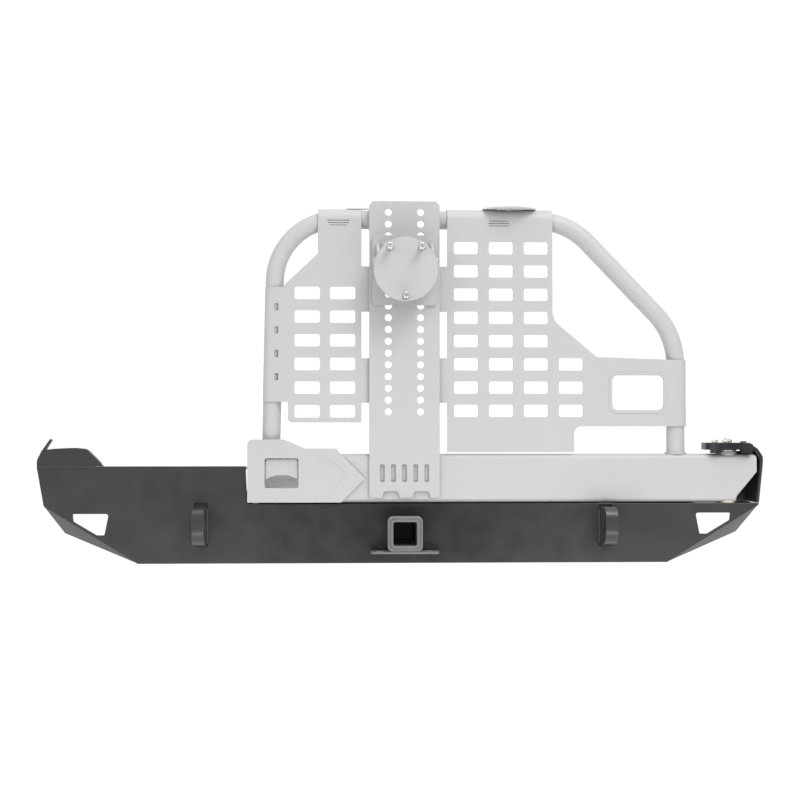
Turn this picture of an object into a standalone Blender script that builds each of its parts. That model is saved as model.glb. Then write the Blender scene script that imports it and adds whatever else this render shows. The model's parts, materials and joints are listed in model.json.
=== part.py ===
"""Swing-away spare tire carrier on its rear bumper. Metres, +Z up.

+X runs across the vehicle, +Y points at the vehicle and -Y away from it, where a person stands.
The origin is on the forward face of the crossmember plate, on the vehicle's centreline, level with
the bumper's lower edge. The carrier hangs on a vertical spindle at the +X end and swings out to -Y.
"""

import math

import bmesh
import bpy
from mathutils import Matrix, Vector

# Sheet and plate
GAP = 0.0003
PLATE = 0.0048
SHEET = 0.003
ARC_STEPS = 4

# Bumper, seen from behind: its face is one flat plate
FACE_FRONT = -0.170
FACE_BACK = FACE_FRONT + PLATE
SHELF_TOP = 0.118
FACE_TOP = 0.128
RAISED_TOP = 0.209
RAISED_DECK_TOP = 0.2055
NOTCH_X = -0.342
LOWER_HALF_WIDTH = 0.572
KINK_X = 0.772
KINK_Z = 0.123
WING_SLANT = math.radians(12)

# Hitch receiver
RECEIVER_Z = 0.0655
RECEIVER_OUTER = 0.0635
RECEIVER_OPENING = 0.0508
COLLAR_OUTER = 0.075
RECEIVER_FRONT = -0.215

# Shackle tabs
TAB_X = 0.437
TAB_THICKNESS = 0.0267
TAB_NOSE = -0.252
TAB_TOP = 0.1215
SHACKLE_HOLE_RADIUS = 0.0127

# Swing arm: a rectangular tube on a vertical pivot
PIVOT_X = 0.709
ARM_LEFT = -0.333
ARM_RIGHT = 0.769
ARM_BOTTOM = 0.130
ARM_TOP = 0.2347
ARM_FRONT = -0.170
ARM_BACK = ARM_FRONT + 0.0508
ARM_WALL = 0.005
ARM_CORNER = 0.012
# How far behind the arm's front wall the paddle's top edge swings in
PADDLE_SWING = 0.0055
ARM_MIDDLE_Y = (ARM_FRONT + ARM_BACK) / 2
ARM_MIDDLE_Z = (ARM_BOTTOM + ARM_TOP) / 2
BARREL_RADIUS = 0.022
BARREL_BORE = 0.018
BARREL_BOTTOM = 0.1335
BARREL_TOP = 0.2405
SPINDLE_RADIUS = 0.016
SPINDLE_NECK = 0.006
SPINDLE_TOP = 0.269
NUT_HEIGHT = 0.0065
NUT_CORNER_RADIUS = 0.0104
HINGE_PLATE_BOTTOM = 0.244
HINGE_PLATE_TOP = 0.259
HINGE_FRONT = -0.185
HINGE_BACK = -0.077
HINGE_PLATE_LEFT = 0.658
HINGE_PLATE_RIGHT = 0.7575
HINGE_PLATE_BACK = -0.100
HINGE_NOSE_RADIUS = 0.030
HINGE_BOLTS = ((0.6813, -0.152), (0.722, -0.113), (0.745, -0.152))

# Latch in the arm's free end
WINDOW_LEFT = -0.301
WINDOW_RIGHT = -0.228
WINDOW_BOTTOM = 0.162
WINDOW_TOP = 0.226
HANDLE_PIN_Y = -0.1575
HANDLE_PIN_Z = 0.2185
HANDLE_PIN_RADIUS = 0.004
LATCH_BOLT_X = -0.320
LATCH_BOLT_RADIUS = 0.007

# Tube frame above the arm
TUBE_RADIUS = 0.0196
TUBE_TOP_Z = 0.7448
LEFT_LEG_TOP_X = -0.2781
LEFT_LEG_FOOT_X = -0.2884
RIGHT_LEG_X = 0.596
TUBE_BENDS = (0.136, 0.155, 0.155)
DIAGONAL_START_X = 0.3573
DIAGONAL_END_Z = 0.4959

# Storage panels: flat sheet in front of the tubes, wrapped round them
WRAP_INNER = TUBE_RADIUS + GAP
WRAP_OUTER = WRAP_INNER + SHEET
PANEL_FRONT = ARM_MIDDLE_Y - WRAP_OUTER
PANEL_BACK = ARM_MIDDLE_Y - WRAP_INNER
PANEL_EDGE_X = 0.093
STRAP_PITCH_X = 0.0762
STRAP_PITCH_Z = 0.0505
STRAP_BOTTOM_Z = 0.3285
LEFT_STRAP_BOTTOM_Z = 0.3273
LEFT_STRAP_PITCH_Z = 0.0512
STRAP_LEFT_X = -0.1337
STRAP_RIGHT_X = 0.1337
RIGHT_SLOT = (0.0523, 0.027)
LEFT_SLOT = (0.055, 0.0272)
SLOT_CORNER = 0.005
TIE_TAB_END_X = 0.0745
TIE_TABS_Z = ((0.346, 0.442), (0.543, 0.641))

# Upright
UPRIGHT_HALF_WIDTH = 0.0762
UPRIGHT_FRONT = -0.1765
UPRIGHT_BACK = -0.1705
UPRIGHT_BOTTOM = 0.140
UPRIGHT_TOP = 0.782
STIFFENER_OUTER_X = 0.0740
STIFFENER_TOP = 0.772
HOLE_X = 0.0349
HOLE_TOP_Z = 0.758
HOLE_PITCH = 0.0254
HOLE_RADIUS = 0.0079
HOLE_ROWS = 18

# Wheel mount
WHEEL_Z = 0.6278
DISC_RADIUS = 0.0685
DISC_FRONT = -0.244
DISC_BACK = -0.236
STUD_CIRCLE_RADIUS = 0.05715
STUD_RADIUS = 0.00635
STUD_ANGLES = (126, 270, 54)
BASE_FRONT = -0.1828
BASE_BACK = UPRIGHT_FRONT - GAP
CLAMP_Y = -0.220
CLAMP_Z = 0.645
CLAMP_RADIUS = 0.006
SLIDE_TRAVEL = 0.020

PLANES = {
    "XY": (0, 0, 0),
    "XZ": (math.pi / 2, 0, 0),
    "YZ": (math.pi / 2, 0, math.pi / 2),
}
AXES = {
    "X": Matrix.Rotation(math.pi / 2, 4, "Y"),
    "Y": Matrix.Rotation(math.pi / 2, 4, "X"),
    "Z": Matrix.Identity(4),
}


# Materials


def make_material(name, color, roughness, metallic):
    material = bpy.data.materials.new(name)
    material.use_nodes = True
    shader = material.node_tree.nodes["Principled BSDF"]
    shader.inputs["Base Color"].default_value = (*color, 1)
    shader.inputs["Roughness"].default_value = roughness
    shader.inputs["Metallic"].default_value = metallic
    return material


def make_materials():
    return {
        "black": make_material("black_powder_coat", (0.055, 0.055, 0.058), 0.55, 0.0),
        "grey": make_material("pale_powder_coat", (0.62, 0.62, 0.64), 0.5, 0.0),
        "zinc": make_material("zinc_plate", (0.62, 0.61, 0.57), 0.35, 1.0),
        "bronze": make_material("bronze", (0.45, 0.30, 0.14), 0.4, 1.0),
        "rubber": make_material("rubber", (0.02, 0.02, 0.02), 0.85, 0.0),
    }


# Outlines, as lists of (u, v) points


def fillet(before, corner, after, radius, steps=ARC_STEPS):
    """The points that round one corner of a path."""
    if radius == 0:
        return [tuple(corner)]
    corner = Vector(corner)
    back = (Vector(before) - corner).normalized()
    ahead = (Vector(after) - corner).normalized()
    half = back.angle(ahead) / 2
    centre = corner + (back + ahead).normalized() * (radius / math.sin(half))
    start = corner + back * (radius / math.tan(half)) - centre
    sweep = math.pi - 2 * half
    if back.x * ahead.y - back.y * ahead.x > 0:
        sweep = -sweep
    turns = (Matrix.Rotation(sweep * i / steps, 2) for i in range(steps + 1))
    return [tuple(centre + turn @ start) for turn in turns]


def rounded_outline(corners, steps=ARC_STEPS):
    """A closed outline from (u, v, radius) corners."""
    points = []
    for i, (u, v, radius) in enumerate(corners):
        before = corners[i - 1][:2]
        after = corners[(i + 1) % len(corners)][:2]
        points += fillet(before, (u, v), after, radius, steps)
    return points


def rounded_path(corners, radii, steps):
    """An open path through the corners, each inner one rounded."""
    points = [corners[0]]
    for i, radius in enumerate(radii, start=1):
        points += fillet(corners[i - 1], corners[i], corners[i + 1], radius, steps)
    return points + [corners[-1]]


def rectangle(u, v, width, height, radius=0, steps=2):
    left, right = u - width / 2, u + width / 2
    low, high = v - height / 2, v + height / 2
    sides = [(left, low), (right, low), (right, high), (left, high)]
    return rounded_outline([(*corner, radius) for corner in sides], steps)


def circle(u, v, radius, sides=12):
    turns = (2 * math.pi * (i + 0.5) / sides for i in range(sides))
    return [(u + radius * math.cos(turn), v + radius * math.sin(turn)) for turn in turns]


def arc(u, v, radius, start, end, steps):
    """Points round a centre, from one angle to another in degrees."""
    angles = [math.radians(start + (end - start) * i / steps) for i in range(steps + 1)]
    return [(u + radius * math.cos(angle), v + radius * math.sin(angle)) for angle in angles]


def mirrored(points):
    """The same outline on the other side of the centreline."""
    return [(-point[0], *point[1:]) for point in points]


# Solids


class Model:
    """The collections that the object and its cutters go in."""

    def __init__(self):
        self.parts = bpy.data.collections.new("spare_tire_carrier")
        self.helpers = bpy.data.collections.new("cutters")
        for group in (self.parts, self.helpers):
            bpy.context.scene.collection.children.link(group)
        self.materials = make_materials()

    def part(self, name, data, finish):
        """A named sub-part with its own material."""
        solid = bpy.data.objects.new(name, data)
        solid.data.materials.append(self.materials[finish].copy())
        solid.data.materials[0].name = name
        self.parts.objects.link(solid)
        return solid

    def helper(self, solid):
        """Turns a part into a cutter or an operand, which the render leaves out."""
        self.parts.objects.unlink(solid)
        self.helpers.objects.link(solid)
        solid.hide_render = True
        solid.display_type = "WIRE"
        return solid

    def empty(self, name, location, parent=None):
        """A body's frame, on the axis of the joint that moves it."""
        pivot = bpy.data.objects.new(name, None)
        pivot.empty_display_size = 0.05
        self.parts.objects.link(pivot)
        pivot.location = location
        if parent:
            hang(pivot, parent)
        return pivot


def hang(solid, pivot):
    """Parents without moving: each pivot is unrotated, so only its place is taken off."""
    solid.parent = pivot
    place = Vector(pivot.location)
    if pivot.parent:
        place = pivot.matrix_parent_inverse @ place + Vector(pivot.parent.location)
    solid.matrix_parent_inverse = Matrix.Translation(-place)


def flat(model, name, finish, plane, outline, low, high, holes=()):
    """A flat plate: a 2D curve between two distances along the plane's normal."""
    curve = bpy.data.curves.new(name, "CURVE")
    curve.dimensions = "2D"
    curve.fill_mode = "BOTH"
    curve.extrude = (high - low) / 2
    for points in (outline, *holes):
        spline = curve.splines.new("POLY")
        spline.points.add(len(points) - 1)
        for point, (u, v) in zip(spline.points, points):
            point.co = (u, v, 0, 1)
        spline.use_cyclic_u = True
    solid = model.part(name, curve, finish)
    middle = (low + high) / 2
    solid.location = {"XY": (0, 0, middle), "XZ": (0, middle, 0), "YZ": (middle, 0, 0)}[plane]
    solid.rotation_euler = PLANES[plane]
    return solid


def even_caps(shape):
    """Flips the edges inside a plate's two flat faces, so that no triangle there has no area."""
    caps = {face for face in shape.faces if len({round(v.co.z, 6) for v in face.verts}) == 1}
    inside = [
        edge for edge in shape.edges if len(edge.link_faces) == 2 and caps.issuperset(edge.link_faces)
    ]
    bmesh.ops.beautify_fill(shape, faces=list(caps), edges=inside, method="ANGLE")


def as_mesh(model, curve_object):
    """Replaces a curve object by its mesh, with the caps welded on."""
    bpy.context.view_layer.update()
    graph = bpy.context.evaluated_depsgraph_get()
    mesh = bpy.data.meshes.new_from_object(curve_object.evaluated_get(graph))
    welded = bmesh.new()
    welded.from_mesh(mesh)
    bmesh.ops.remove_doubles(welded, verts=welded.verts, dist=1e-6)
    even_caps(welded)
    welded.to_mesh(mesh)
    welded.free()
    name = curve_object.name
    matrix = curve_object.matrix_world.copy()
    curve = curve_object.data
    bpy.data.objects.remove(curve_object)
    bpy.data.curves.remove(curve)
    solid = bpy.data.objects.new(name, mesh)
    solid.matrix_world = matrix
    model.parts.objects.link(solid)
    return solid


def from_bmesh(model, name, finish, shape):
    mesh = bpy.data.meshes.new(name)
    shape.to_mesh(mesh)
    shape.free()
    return model.part(name, mesh, finish)


def box(model, name, finish, low, high):
    shape = bmesh.new()
    bmesh.ops.create_cube(shape, size=1)
    size = Vector(high) - Vector(low)
    bmesh.ops.scale(shape, vec=size, verts=shape.verts)
    solid = from_bmesh(model, name, finish, shape)
    solid.location = (Vector(low) + Vector(high)) / 2
    return solid


def rod(model, name, finish, axis, start, length, radius, sides=16):
    """A cylinder, or a hexagon with 6 sides, from its start along an axis."""
    shape = bmesh.new()
    bmesh.ops.create_cone(
        shape, cap_ends=True, segments=sides, radius1=radius, radius2=radius, depth=length
    )
    turn = Matrix.Rotation(math.pi / sides, 4, "Z")
    bmesh.ops.transform(shape, matrix=AXES[axis] @ turn, verts=shape.verts)
    solid = from_bmesh(model, name, finish, shape)
    middle = Vector(start)
    middle["XYZ".index(axis)] += length / 2
    solid.location = middle
    if sides > 6:
        solid.data.shade_smooth()
        solid.data.set_sharp_from_angle(angle=math.radians(35))
    return solid


def turned(model, name, finish, profile, x, y, steps=24):
    """A turned piece on a vertical axis, from its closed (radius, z) profile."""
    shape = bmesh.new()
    corners = [shape.verts.new((radius, 0, z)) for radius, z in profile]
    for i, corner in enumerate(corners):
        shape.edges.new((corners[i - 1], corner))
    solid = from_bmesh(model, name, finish, shape)
    solid.location = (x, y, 0)
    screw = solid.modifiers.new("turn", "SCREW")
    screw.steps = steps
    screw.render_steps = steps
    screw.use_merge_vertices = True
    screw.merge_threshold = 0.00001
    screw.use_normal_calculate = False
    screw.use_smooth_shade = False
    return solid


def boolean(solid, other, operation):
    modifier = solid.modifiers.new(other.name, "BOOLEAN")
    modifier.operation = operation
    modifier.solver = "EXACT"
    modifier.object = other


def joined(model, solid, *others):
    for other in others:
        boolean(solid, model.helper(other), "UNION")
    return solid


def cut(model, solid, *others):
    for other in others:
        boolean(solid, model.helper(other), "DIFFERENCE")
    return solid


def band(path, thickness):
    """A closed outline of one thickness, to the right of an open path."""
    inner = []
    for i, point in enumerate(path):
        before = Vector(path[max(i - 1, 0)])
        after = Vector(path[min(i + 1, len(path) - 1)])
        along = (after - before).normalized()
        inner.append((point[0] + along.y * thickness, point[1] - along.x * thickness))
    return list(path) + inner[::-1]


def hex_bolt(model, name, finish, axis, seat, head, across, shank, radius):
    """A hexagon bolt: its head rises from the seat, and its shank goes the other way.

    A head with a negative height rises towards the axis's negative side.
    """
    along = Vector([float(letter == axis) for letter in "XYZ"])
    head_start = Vector(seat) + along * min(head, 0)
    body = rod(model, name, finish, axis, head_start, abs(head), across / math.sqrt(3), 6)
    shank_low = min(head / 2, -math.copysign(shank, head))
    shank_start = Vector(seat) + along * shank_low
    stem = rod(
        model, name + "_stem", finish, axis, shank_start, shank + abs(head) / 2, radius, 12
    )
    return joined(model, body, stem)


# Bumper


def make_face(model):
    """The flat rear plate, with its lower lip, light cut-outs and slots."""
    outline = [
        (-LOWER_HALF_WIDTH, 0),
        (LOWER_HALF_WIDTH, 0),
        (KINK_X, KINK_Z),
        (KINK_X + 0.002, FACE_TOP),
        (NOTCH_X + 0.004, FACE_TOP),
        (NOTCH_X, RAISED_TOP),
        (-0.787, RAISED_TOP),
        (-0.787, 0.205),
        (-KINK_X, KINK_Z),
    ]
    light = [
        (0.634, 0.107, 0.005),
        (0.643, 0.0615, 0.003),
        (0.659, 0.0615, 0.005),
        (0.7085, 0.091, 0.003),
        (0.7105, 0.107, 0.003),
    ]
    light_holes = [rounded_outline(corners, 3) for corners in (light, mirrored(light))]
    tab_slots = [
        rectangle(-TAB_X, 0.0835, TAB_THICKNESS + 0.001, 0.094),
        rectangle(TAB_X, 0.0810, TAB_THICKNESS + 0.001, 0.089),
    ]
    receiver_hole = rectangle(0, RECEIVER_Z, RECEIVER_OUTER + 0.001, RECEIVER_OUTER + 0.001, 0.008, 3)
    holes = (*light_holes, *tab_slots, receiver_hole)
    face = as_mesh(
        model, flat(model, "bumper_face", "black", "XZ", outline, FACE_FRONT, FACE_BACK, holes)
    )
    lip = box(
        model, "lower_lip", "black", (-0.555, FACE_FRONT + 0.002, 0), (0.555, -0.120, PLATE)
    )
    joined(model, face, lip)


def corner_shell(model, name, side, ridge, reaches):
    """A folded end of the bumper: a facet under the face, then sides that run forward.

    The ridge lists the (x, z) points of the outer edge, from the facet's tip upwards. Each runs
    forward by its own reach, and all of them slant inward by the same angle.
    """
    start_y = FACE_BACK + GAP
    low = (side * LOWER_HALF_WIDTH, start_y, 0)
    tip = (side * 0.7355, start_y + 0.045, 0.063)
    near = [low, tip] + [(side * x, start_y, z) for x, z in ridge]

    def forward(point, reach):
        shift = -side * math.sin(WING_SLANT) * reach
        return (point[0] + shift, point[1] + math.cos(WING_SLANT) * reach, point[2])

    far = [forward(point, reach) for point, reach in zip(near, reaches)]
    shape = bmesh.new()
    front = [shape.verts.new(point) for point in near]
    back = [shape.verts.new(point) for point in far]
    shape.faces.new((front[0], front[1], front[2]))
    for i in range(len(near) - 1):
        shape.faces.new((front[i], back[i], back[i + 1], front[i + 1]))
    bmesh.ops.recalc_face_normals(shape, faces=shape.faces)
    for face in shape.faces:
        outward = Vector((side, 0, -0.6))
        if face.normal.dot(outward) < 0:
            face.normal_flip()
    solid = from_bmesh(model, name, "black", shape)
    thicken = solid.modifiers.new("thickness", "SOLIDIFY")
    thicken.thickness = PLATE
    thicken.offset = -1
    thicken.use_even_offset = True
    front_trim = box(
        model, name + "_trim", "black", (-0.9, start_y - 0.02, -0.1), (0.9, start_y, 0.4)
    )
    cut(model, solid, front_trim)


def make_corners(model):
    left_ridge = [
        (KINK_X, KINK_Z),
        (0.787, 0.205),
        (0.7868, 0.2227),
        (0.7755, 0.2455),
        (0.760, 0.268),
    ]
    left_reaches = (0.060, 0.015, 0.075, 0.240, 0.250, 0.012, 0.008)
    corner_shell(model, "wing_left", -1, left_ridge, left_reaches)
    right_ridge = [(KINK_X, KINK_Z), (KINK_X + 0.0014, FACE_TOP - 0.0015)]
    corner_shell(model, "wing_right", 1, right_ridge, (0.060, 0.015, 0.075, 0.078))


def make_corner_cap(model):
    """The crowned cover that closes the left end above the face."""
    crown = [(-0.750, 0.2468), (-0.7274, 0.2480), (-0.7062, 0.2486), (-0.6849, 0.2466)]
    shoulder = [(-0.6785, 0.2435), (-0.6445, RAISED_TOP + GAP)]
    edge = [(-0.787, RAISED_TOP + GAP), (-0.7865, 0.2227), (-0.7765, 0.2437)]
    outline = [*edge, *crown, *shoulder]
    cap = as_mesh(
        model, flat(model, "corner_cap", "black", "XZ", outline, FACE_FRONT, FACE_BACK)
    )
    roof_path = [*crown, shoulder[0], (-0.6510, 0.2160)]
    roof = flat(
        model, "cap_roof", "black", "XZ", band(roof_path, 0.004), FACE_FRONT + 0.002, -0.150
    )
    joined(model, cap, as_mesh(model, roof))


def make_decks(model):
    back_y = -0.060
    slant = math.tan(WING_SLANT)
    far_left = -0.7790 + slant * (back_y - FACE_BACK)
    deck = [
        (-0.7790, FACE_BACK + GAP),
        (NOTCH_X, FACE_BACK + GAP),
        (NOTCH_X, back_y),
        (far_left, back_y),
    ]
    flat(model, "raised_deck", "black", "XY", deck, RAISED_DECK_TOP - PLATE, RAISED_DECK_TOP)
    shelf_left, shelf_right = NOTCH_X + 0.004, 0.742
    shelf = [
        (shelf_left, FACE_BACK + GAP),
        (shelf_right, FACE_BACK + GAP),
        (shelf_right, back_y),
        (shelf_left, back_y),
    ]
    bolt_hole = circle(LATCH_BOLT_X, ARM_MIDDLE_Y, LATCH_BOLT_RADIUS + 0.002)
    shelf_plate = flat(
        model, "bumper_shelf", "black", "XY", shelf, SHELF_TOP - PLATE, SHELF_TOP, [bolt_hole]
    )
    rear_lip = box(
        model,
        "rear_lip",
        "black",
        (shelf_left + 0.001, back_y - 0.0055, SHELF_TOP - PLATE / 2),
        (shelf_right - 0.001, back_y - 0.0005, ARM_BOTTOM - 0.001),
    )
    joined(model, as_mesh(model, shelf_plate), rear_lip)


def make_vehicle_mounts(model):
    bolt_holes = [
        circle(side * x, z, 0.0065) for side in (-1, 1) for x in (0.16, 0.32) for z in (0.02, 0.115)
    ]
    plate = rectangle(0, 0.070, 0.76, 0.160, 0.010, 2)
    flat(model, "crossmember_plate", "black", "XZ", plate, -0.00635, 0, bolt_holes)
    outline = rounded_outline(
        [
            (FACE_BACK + GAP, 0.0052, 0),
            (0.020, 0.0052, 0.02),
            (0.100, 0.045, 0.012),
            (0.100, 0.105, 0.012),
            (FACE_BACK + GAP, 0.105, 0),
        ]
    )
    rail_holes = [circle(y, 0.078, 0.0065) for y in (0.020, 0.070)]
    for side, label in ((-1, "left"), (1, "right")):
        inner, outer = side * 0.4555, side * 0.46185
        low, high = min(inner, outer), max(inner, outer)
        name = "frame_bracket_" + label
        flat(model, name, "black", "YZ", outline, low, high, rail_holes)


def make_receiver(model):
    outer = rectangle(0, RECEIVER_Z, RECEIVER_OUTER, RECEIVER_OUTER, 0.008, 3)
    opening = rectangle(0, RECEIVER_Z, RECEIVER_OPENING, RECEIVER_OPENING, 0.004, 2)
    tube = flat(
        model, "receiver_tube", "black", "XZ", outer, RECEIVER_FRONT, -0.00635 - GAP, [opening]
    )
    pin_hole = rod(
        model, "pin_hole", "black", "X", (-0.05, -0.180, RECEIVER_Z), 0.10, 0.008, 12
    )
    cut(model, as_mesh(model, tube), pin_hole)
    ring = rectangle(0, RECEIVER_Z, COLLAR_OUTER, COLLAR_OUTER, 0.011, 3)
    bore = rectangle(0, RECEIVER_Z, RECEIVER_OUTER + 0.0006, RECEIVER_OUTER + 0.0006, 0.008, 3)
    flat(
        model, "receiver_collar", "black", "XZ", ring, RECEIVER_FRONT, RECEIVER_FRONT + 0.024, [bore]
    )
    chain_top = RECEIVER_Z - COLLAR_OUTER / 2 - GAP
    chain = rounded_outline(
        [
            (-0.0735, FACE_FRONT - GAP, 0),
            (-0.0735, RECEIVER_FRONT, 0.012),
            (0.0735, RECEIVER_FRONT, 0.012),
            (0.0735, FACE_FRONT - GAP, 0),
        ]
    )
    hook_holes = [circle(side * 0.054, -0.193, 0.011) for side in (-1, 1)]
    flat(model, "chain_plate", "black", "XY", chain, chain_top - PLATE, chain_top, hook_holes)


def make_shackle_tabs(model):
    """Thick tabs that pass through the face and take a shackle pin."""
    inner_tops = {"left": TAB_TOP, "right": SHELF_TOP - PLATE - 0.0007}
    hole = circle(-0.222, 0.080, SHACKLE_HOLE_RADIUS, 16)
    for side, label in ((-1, "left"), (1, "right")):
        outline = rounded_outline(
            [
                (-0.062, 0.050, 0.01),
                (-0.062, inner_tops[label], 0),
                (FACE_BACK, inner_tops[label], 0),
                (FACE_BACK - 0.0005, TAB_TOP, 0),
                (TAB_NOSE, TAB_TOP, 0.022),
                (TAB_NOSE, 0.048, 0.032),
                (FACE_FRONT - 0.012, 0.038, 0),
                (FACE_BACK, 0.038, 0),
            ],
            5,
        )
        low = side * TAB_X - TAB_THICKNESS / 2
        name = "shackle_tab_" + label
        flat(model, name, "black", "YZ", outline, low, low + TAB_THICKNESS, [hole])


# Hinge


def make_hinge_bracket(model):
    """Base, curled strap and top plate that hold the spindle at both ends."""
    base_top = FACE_TOP - 0.0002
    base = [(0.640, FACE_BACK + GAP), (0.744, FACE_BACK + GAP), (0.744, -0.0705), (0.640, -0.0705)]
    seat = circle(PIVOT_X, ARM_MIDDLE_Y, SPINDLE_RADIUS + GAP, 24)
    plate = as_mesh(
        model, flat(model, "hinge_base", "black", "XY", base, SHELF_TOP + GAP, base_top, [seat])
    )
    rear_plate = box(
        model,
        "rear_plate",
        "black",
        (0.706, HINGE_BACK + 0.0005, base_top - 0.004),
        (0.781, HINGE_BACK + 0.0065, 0.240),
    )
    joined(model, plate, rear_plate)

    strap = rounded_outline(
        [
            (0.7682, FACE_TOP + 0.0006, 0),
            (0.7742, FACE_TOP + 0.0006, 0),
            (0.7832, 0.2150, 0.02),
            (0.7832, 0.2290, 0.012),
            (0.7720, 0.2465, 0.02),
            (HINGE_PLATE_RIGHT + GAP, 0.2550, 0),
            (HINGE_PLATE_RIGHT + GAP, 0.2450, 0),
            (0.7660, 0.2400, 0.01),
            (0.7757, 0.2240, 0.01),
            (0.7757, 0.1960, 0),
        ],
        5,
    )
    flat(model, "hinge_strap", "black", "XZ", strap, ARM_FRONT, HINGE_BACK)
    make_hinge_top_plate(model)
    for i, (x, y) in enumerate(HINGE_BOLTS):
        finish, head = (("zinc", 0.0065), ("black", 0.0065), ("black", 0.003))[i]
        seat = (x, y, HINGE_PLATE_TOP + GAP)
        hex_bolt(model, f"hinge_bolt_{i + 1}", finish, "Z", seat, head, 0.013, 0.0145, 0.004)


def make_hinge_top_plate(model):
    """The thick plate over the pivot: grooved on top, padded below, and with a round nose."""
    groove_left, groove_right, groove_bottom = 0.7272, 0.7312, 0.2540
    profile = [
        (HINGE_PLATE_LEFT, HINGE_PLATE_BOTTOM),
        (HINGE_PLATE_RIGHT, HINGE_PLATE_BOTTOM),
        (HINGE_PLATE_RIGHT, 0.2550),
        (0.7500, HINGE_PLATE_TOP),
        (groove_right, HINGE_PLATE_TOP),
        (groove_right, groove_bottom),
        (groove_left, groove_bottom),
        (groove_left, HINGE_PLATE_TOP),
        (HINGE_PLATE_LEFT, HINGE_PLATE_TOP),
    ]
    plate = as_mesh(
        model,
        flat(model, "hinge_top_plate", "black", "XZ", profile, HINGE_FRONT, HINGE_PLATE_BACK),
    )
    pads = []
    for i, (low_x, high_x) in enumerate(((0.6670, 0.6880), (0.7330, HINGE_PLATE_RIGHT - 0.001))):
        low = (low_x, HINGE_FRONT + 0.002, ARM_TOP + 0.0015)
        high = (high_x, HINGE_FRONT + 0.020, HINGE_PLATE_BOTTOM + 0.002)
        pads.append(box(model, f"pad_{i}", "black", low, high))
    joined(model, plate, *pads)
    nose_x = HINGE_PLATE_LEFT + HINGE_NOSE_RADIUS
    front_y = HINGE_FRONT + HINGE_NOSE_RADIUS
    back_y = HINGE_PLATE_BACK - HINGE_NOSE_RADIUS
    outside = [
        *arc(nose_x, front_y, HINGE_NOSE_RADIUS + 0.0001, -90, -180, 6),
        *arc(nose_x, back_y, HINGE_NOSE_RADIUS + 0.0001, 180, 90, 6),
        (nose_x, HINGE_PLATE_BACK + 0.01),
        (HINGE_PLATE_LEFT - 0.01, HINGE_PLATE_BACK + 0.01),
        (HINGE_PLATE_LEFT - 0.01, HINGE_FRONT - 0.01),
        (nose_x, HINGE_FRONT - 0.01),
    ]
    nose = as_mesh(model, flat(model, "nose_trim", "black", "XY", outside, 0.23, 0.27))
    drills = [nose]
    neck = (PIVOT_X, ARM_MIDDLE_Y, 0.235)
    drills.append(
        rod(model, "spindle_drill", "black", "Z", neck, 0.035, SPINDLE_NECK + GAP, 24)
    )
    for i, (x, y) in enumerate(HINGE_BOLTS):
        drills.append(rod(model, f"bolt_drill_{i}", "black", "Z", (x, y, 0.235), 0.035, 0.0044, 12))
    cut(model, plate, *drills)


def make_spindle(model):
    spindle = [
        (0, SPINDLE_TOP),
        (SPINDLE_NECK, SPINDLE_TOP),
        (SPINDLE_NECK, HINGE_PLATE_BOTTOM - 0.0004),
        (SPINDLE_RADIUS, HINGE_PLATE_BOTTOM - 0.0004),
        (SPINDLE_RADIUS, SHELF_TOP + GAP),
        (0, SHELF_TOP + GAP),
    ]
    turned(model, "spindle", "zinc", spindle, PIVOT_X, ARM_MIDDLE_Y)
    nut = rod(
        model,
        "spindle_nut",
        "zinc",
        "Z",
        (PIVOT_X, ARM_MIDDLE_Y, HINGE_PLATE_TOP + GAP),
        NUT_HEIGHT,
        NUT_CORNER_RADIUS,
        6,
    )
    thread = rod(
        model,
        "nut_thread",
        "zinc",
        "Z",
        (PIVOT_X, ARM_MIDDLE_Y, 0.25),
        0.03,
        SPINDLE_NECK + GAP,
        24,
    )
    cut(model, nut, thread)
    bore = SPINDLE_RADIUS + 0.0002
    washer = [(bore, 0.1303), (0.021, 0.1303), (0.021, 0.1282), (bore, 0.1282)]
    turned(model, "thrust_washer", "bronze", washer, PIVOT_X, ARM_MIDDLE_Y)


def make_bushes(model):
    bore = SPINDLE_RADIUS + 0.0002
    sleeve = BARREL_BORE - 0.0003
    flange = 0.0212
    top, low = BARREL_TOP + GAP, BARREL_BOTTOM - GAP
    upper = [
        (bore, top + 0.0026),
        (flange, top + 0.0026),
        (flange, top),
        (sleeve, top),
        (sleeve, top - 0.030),
        (bore, top - 0.030),
    ]
    lower = [
        (bore, low + 0.030),
        (sleeve, low + 0.030),
        (sleeve, low),
        (flange, low),
        (flange, low - 0.0026),
        (bore, low - 0.0026),
    ]
    turned(model, "upper_bush", "bronze", upper, PIVOT_X, ARM_MIDDLE_Y)
    turned(model, "lower_bush", "bronze", lower, PIVOT_X, ARM_MIDDLE_Y)
    barrel = [
        (BARREL_BORE, BARREL_TOP),
        (BARREL_RADIUS, BARREL_TOP),
        (BARREL_RADIUS, BARREL_BOTTOM),
        (BARREL_BORE, BARREL_BOTTOM),
    ]
    turned(model, "pivot_barrel", "grey", barrel, PIVOT_X, ARM_MIDDLE_Y)
    nipple = [
        (0, 0.011),
        (0.0024, 0.011),
        (0.0034, 0.007),
        (0.0026, 0.005),
        (0.005, 0.004),
        (0.005, 0),
        (0, 0),
    ]
    fitting = turned(model, "grease_fitting", "zinc", nipple, 0, 0, 12)
    fitting.rotation_euler = (-math.pi / 2, 0, 0)
    fitting.location = (PIVOT_X, ARM_BACK + GAP, 0.187)


# Swing arm


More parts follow.
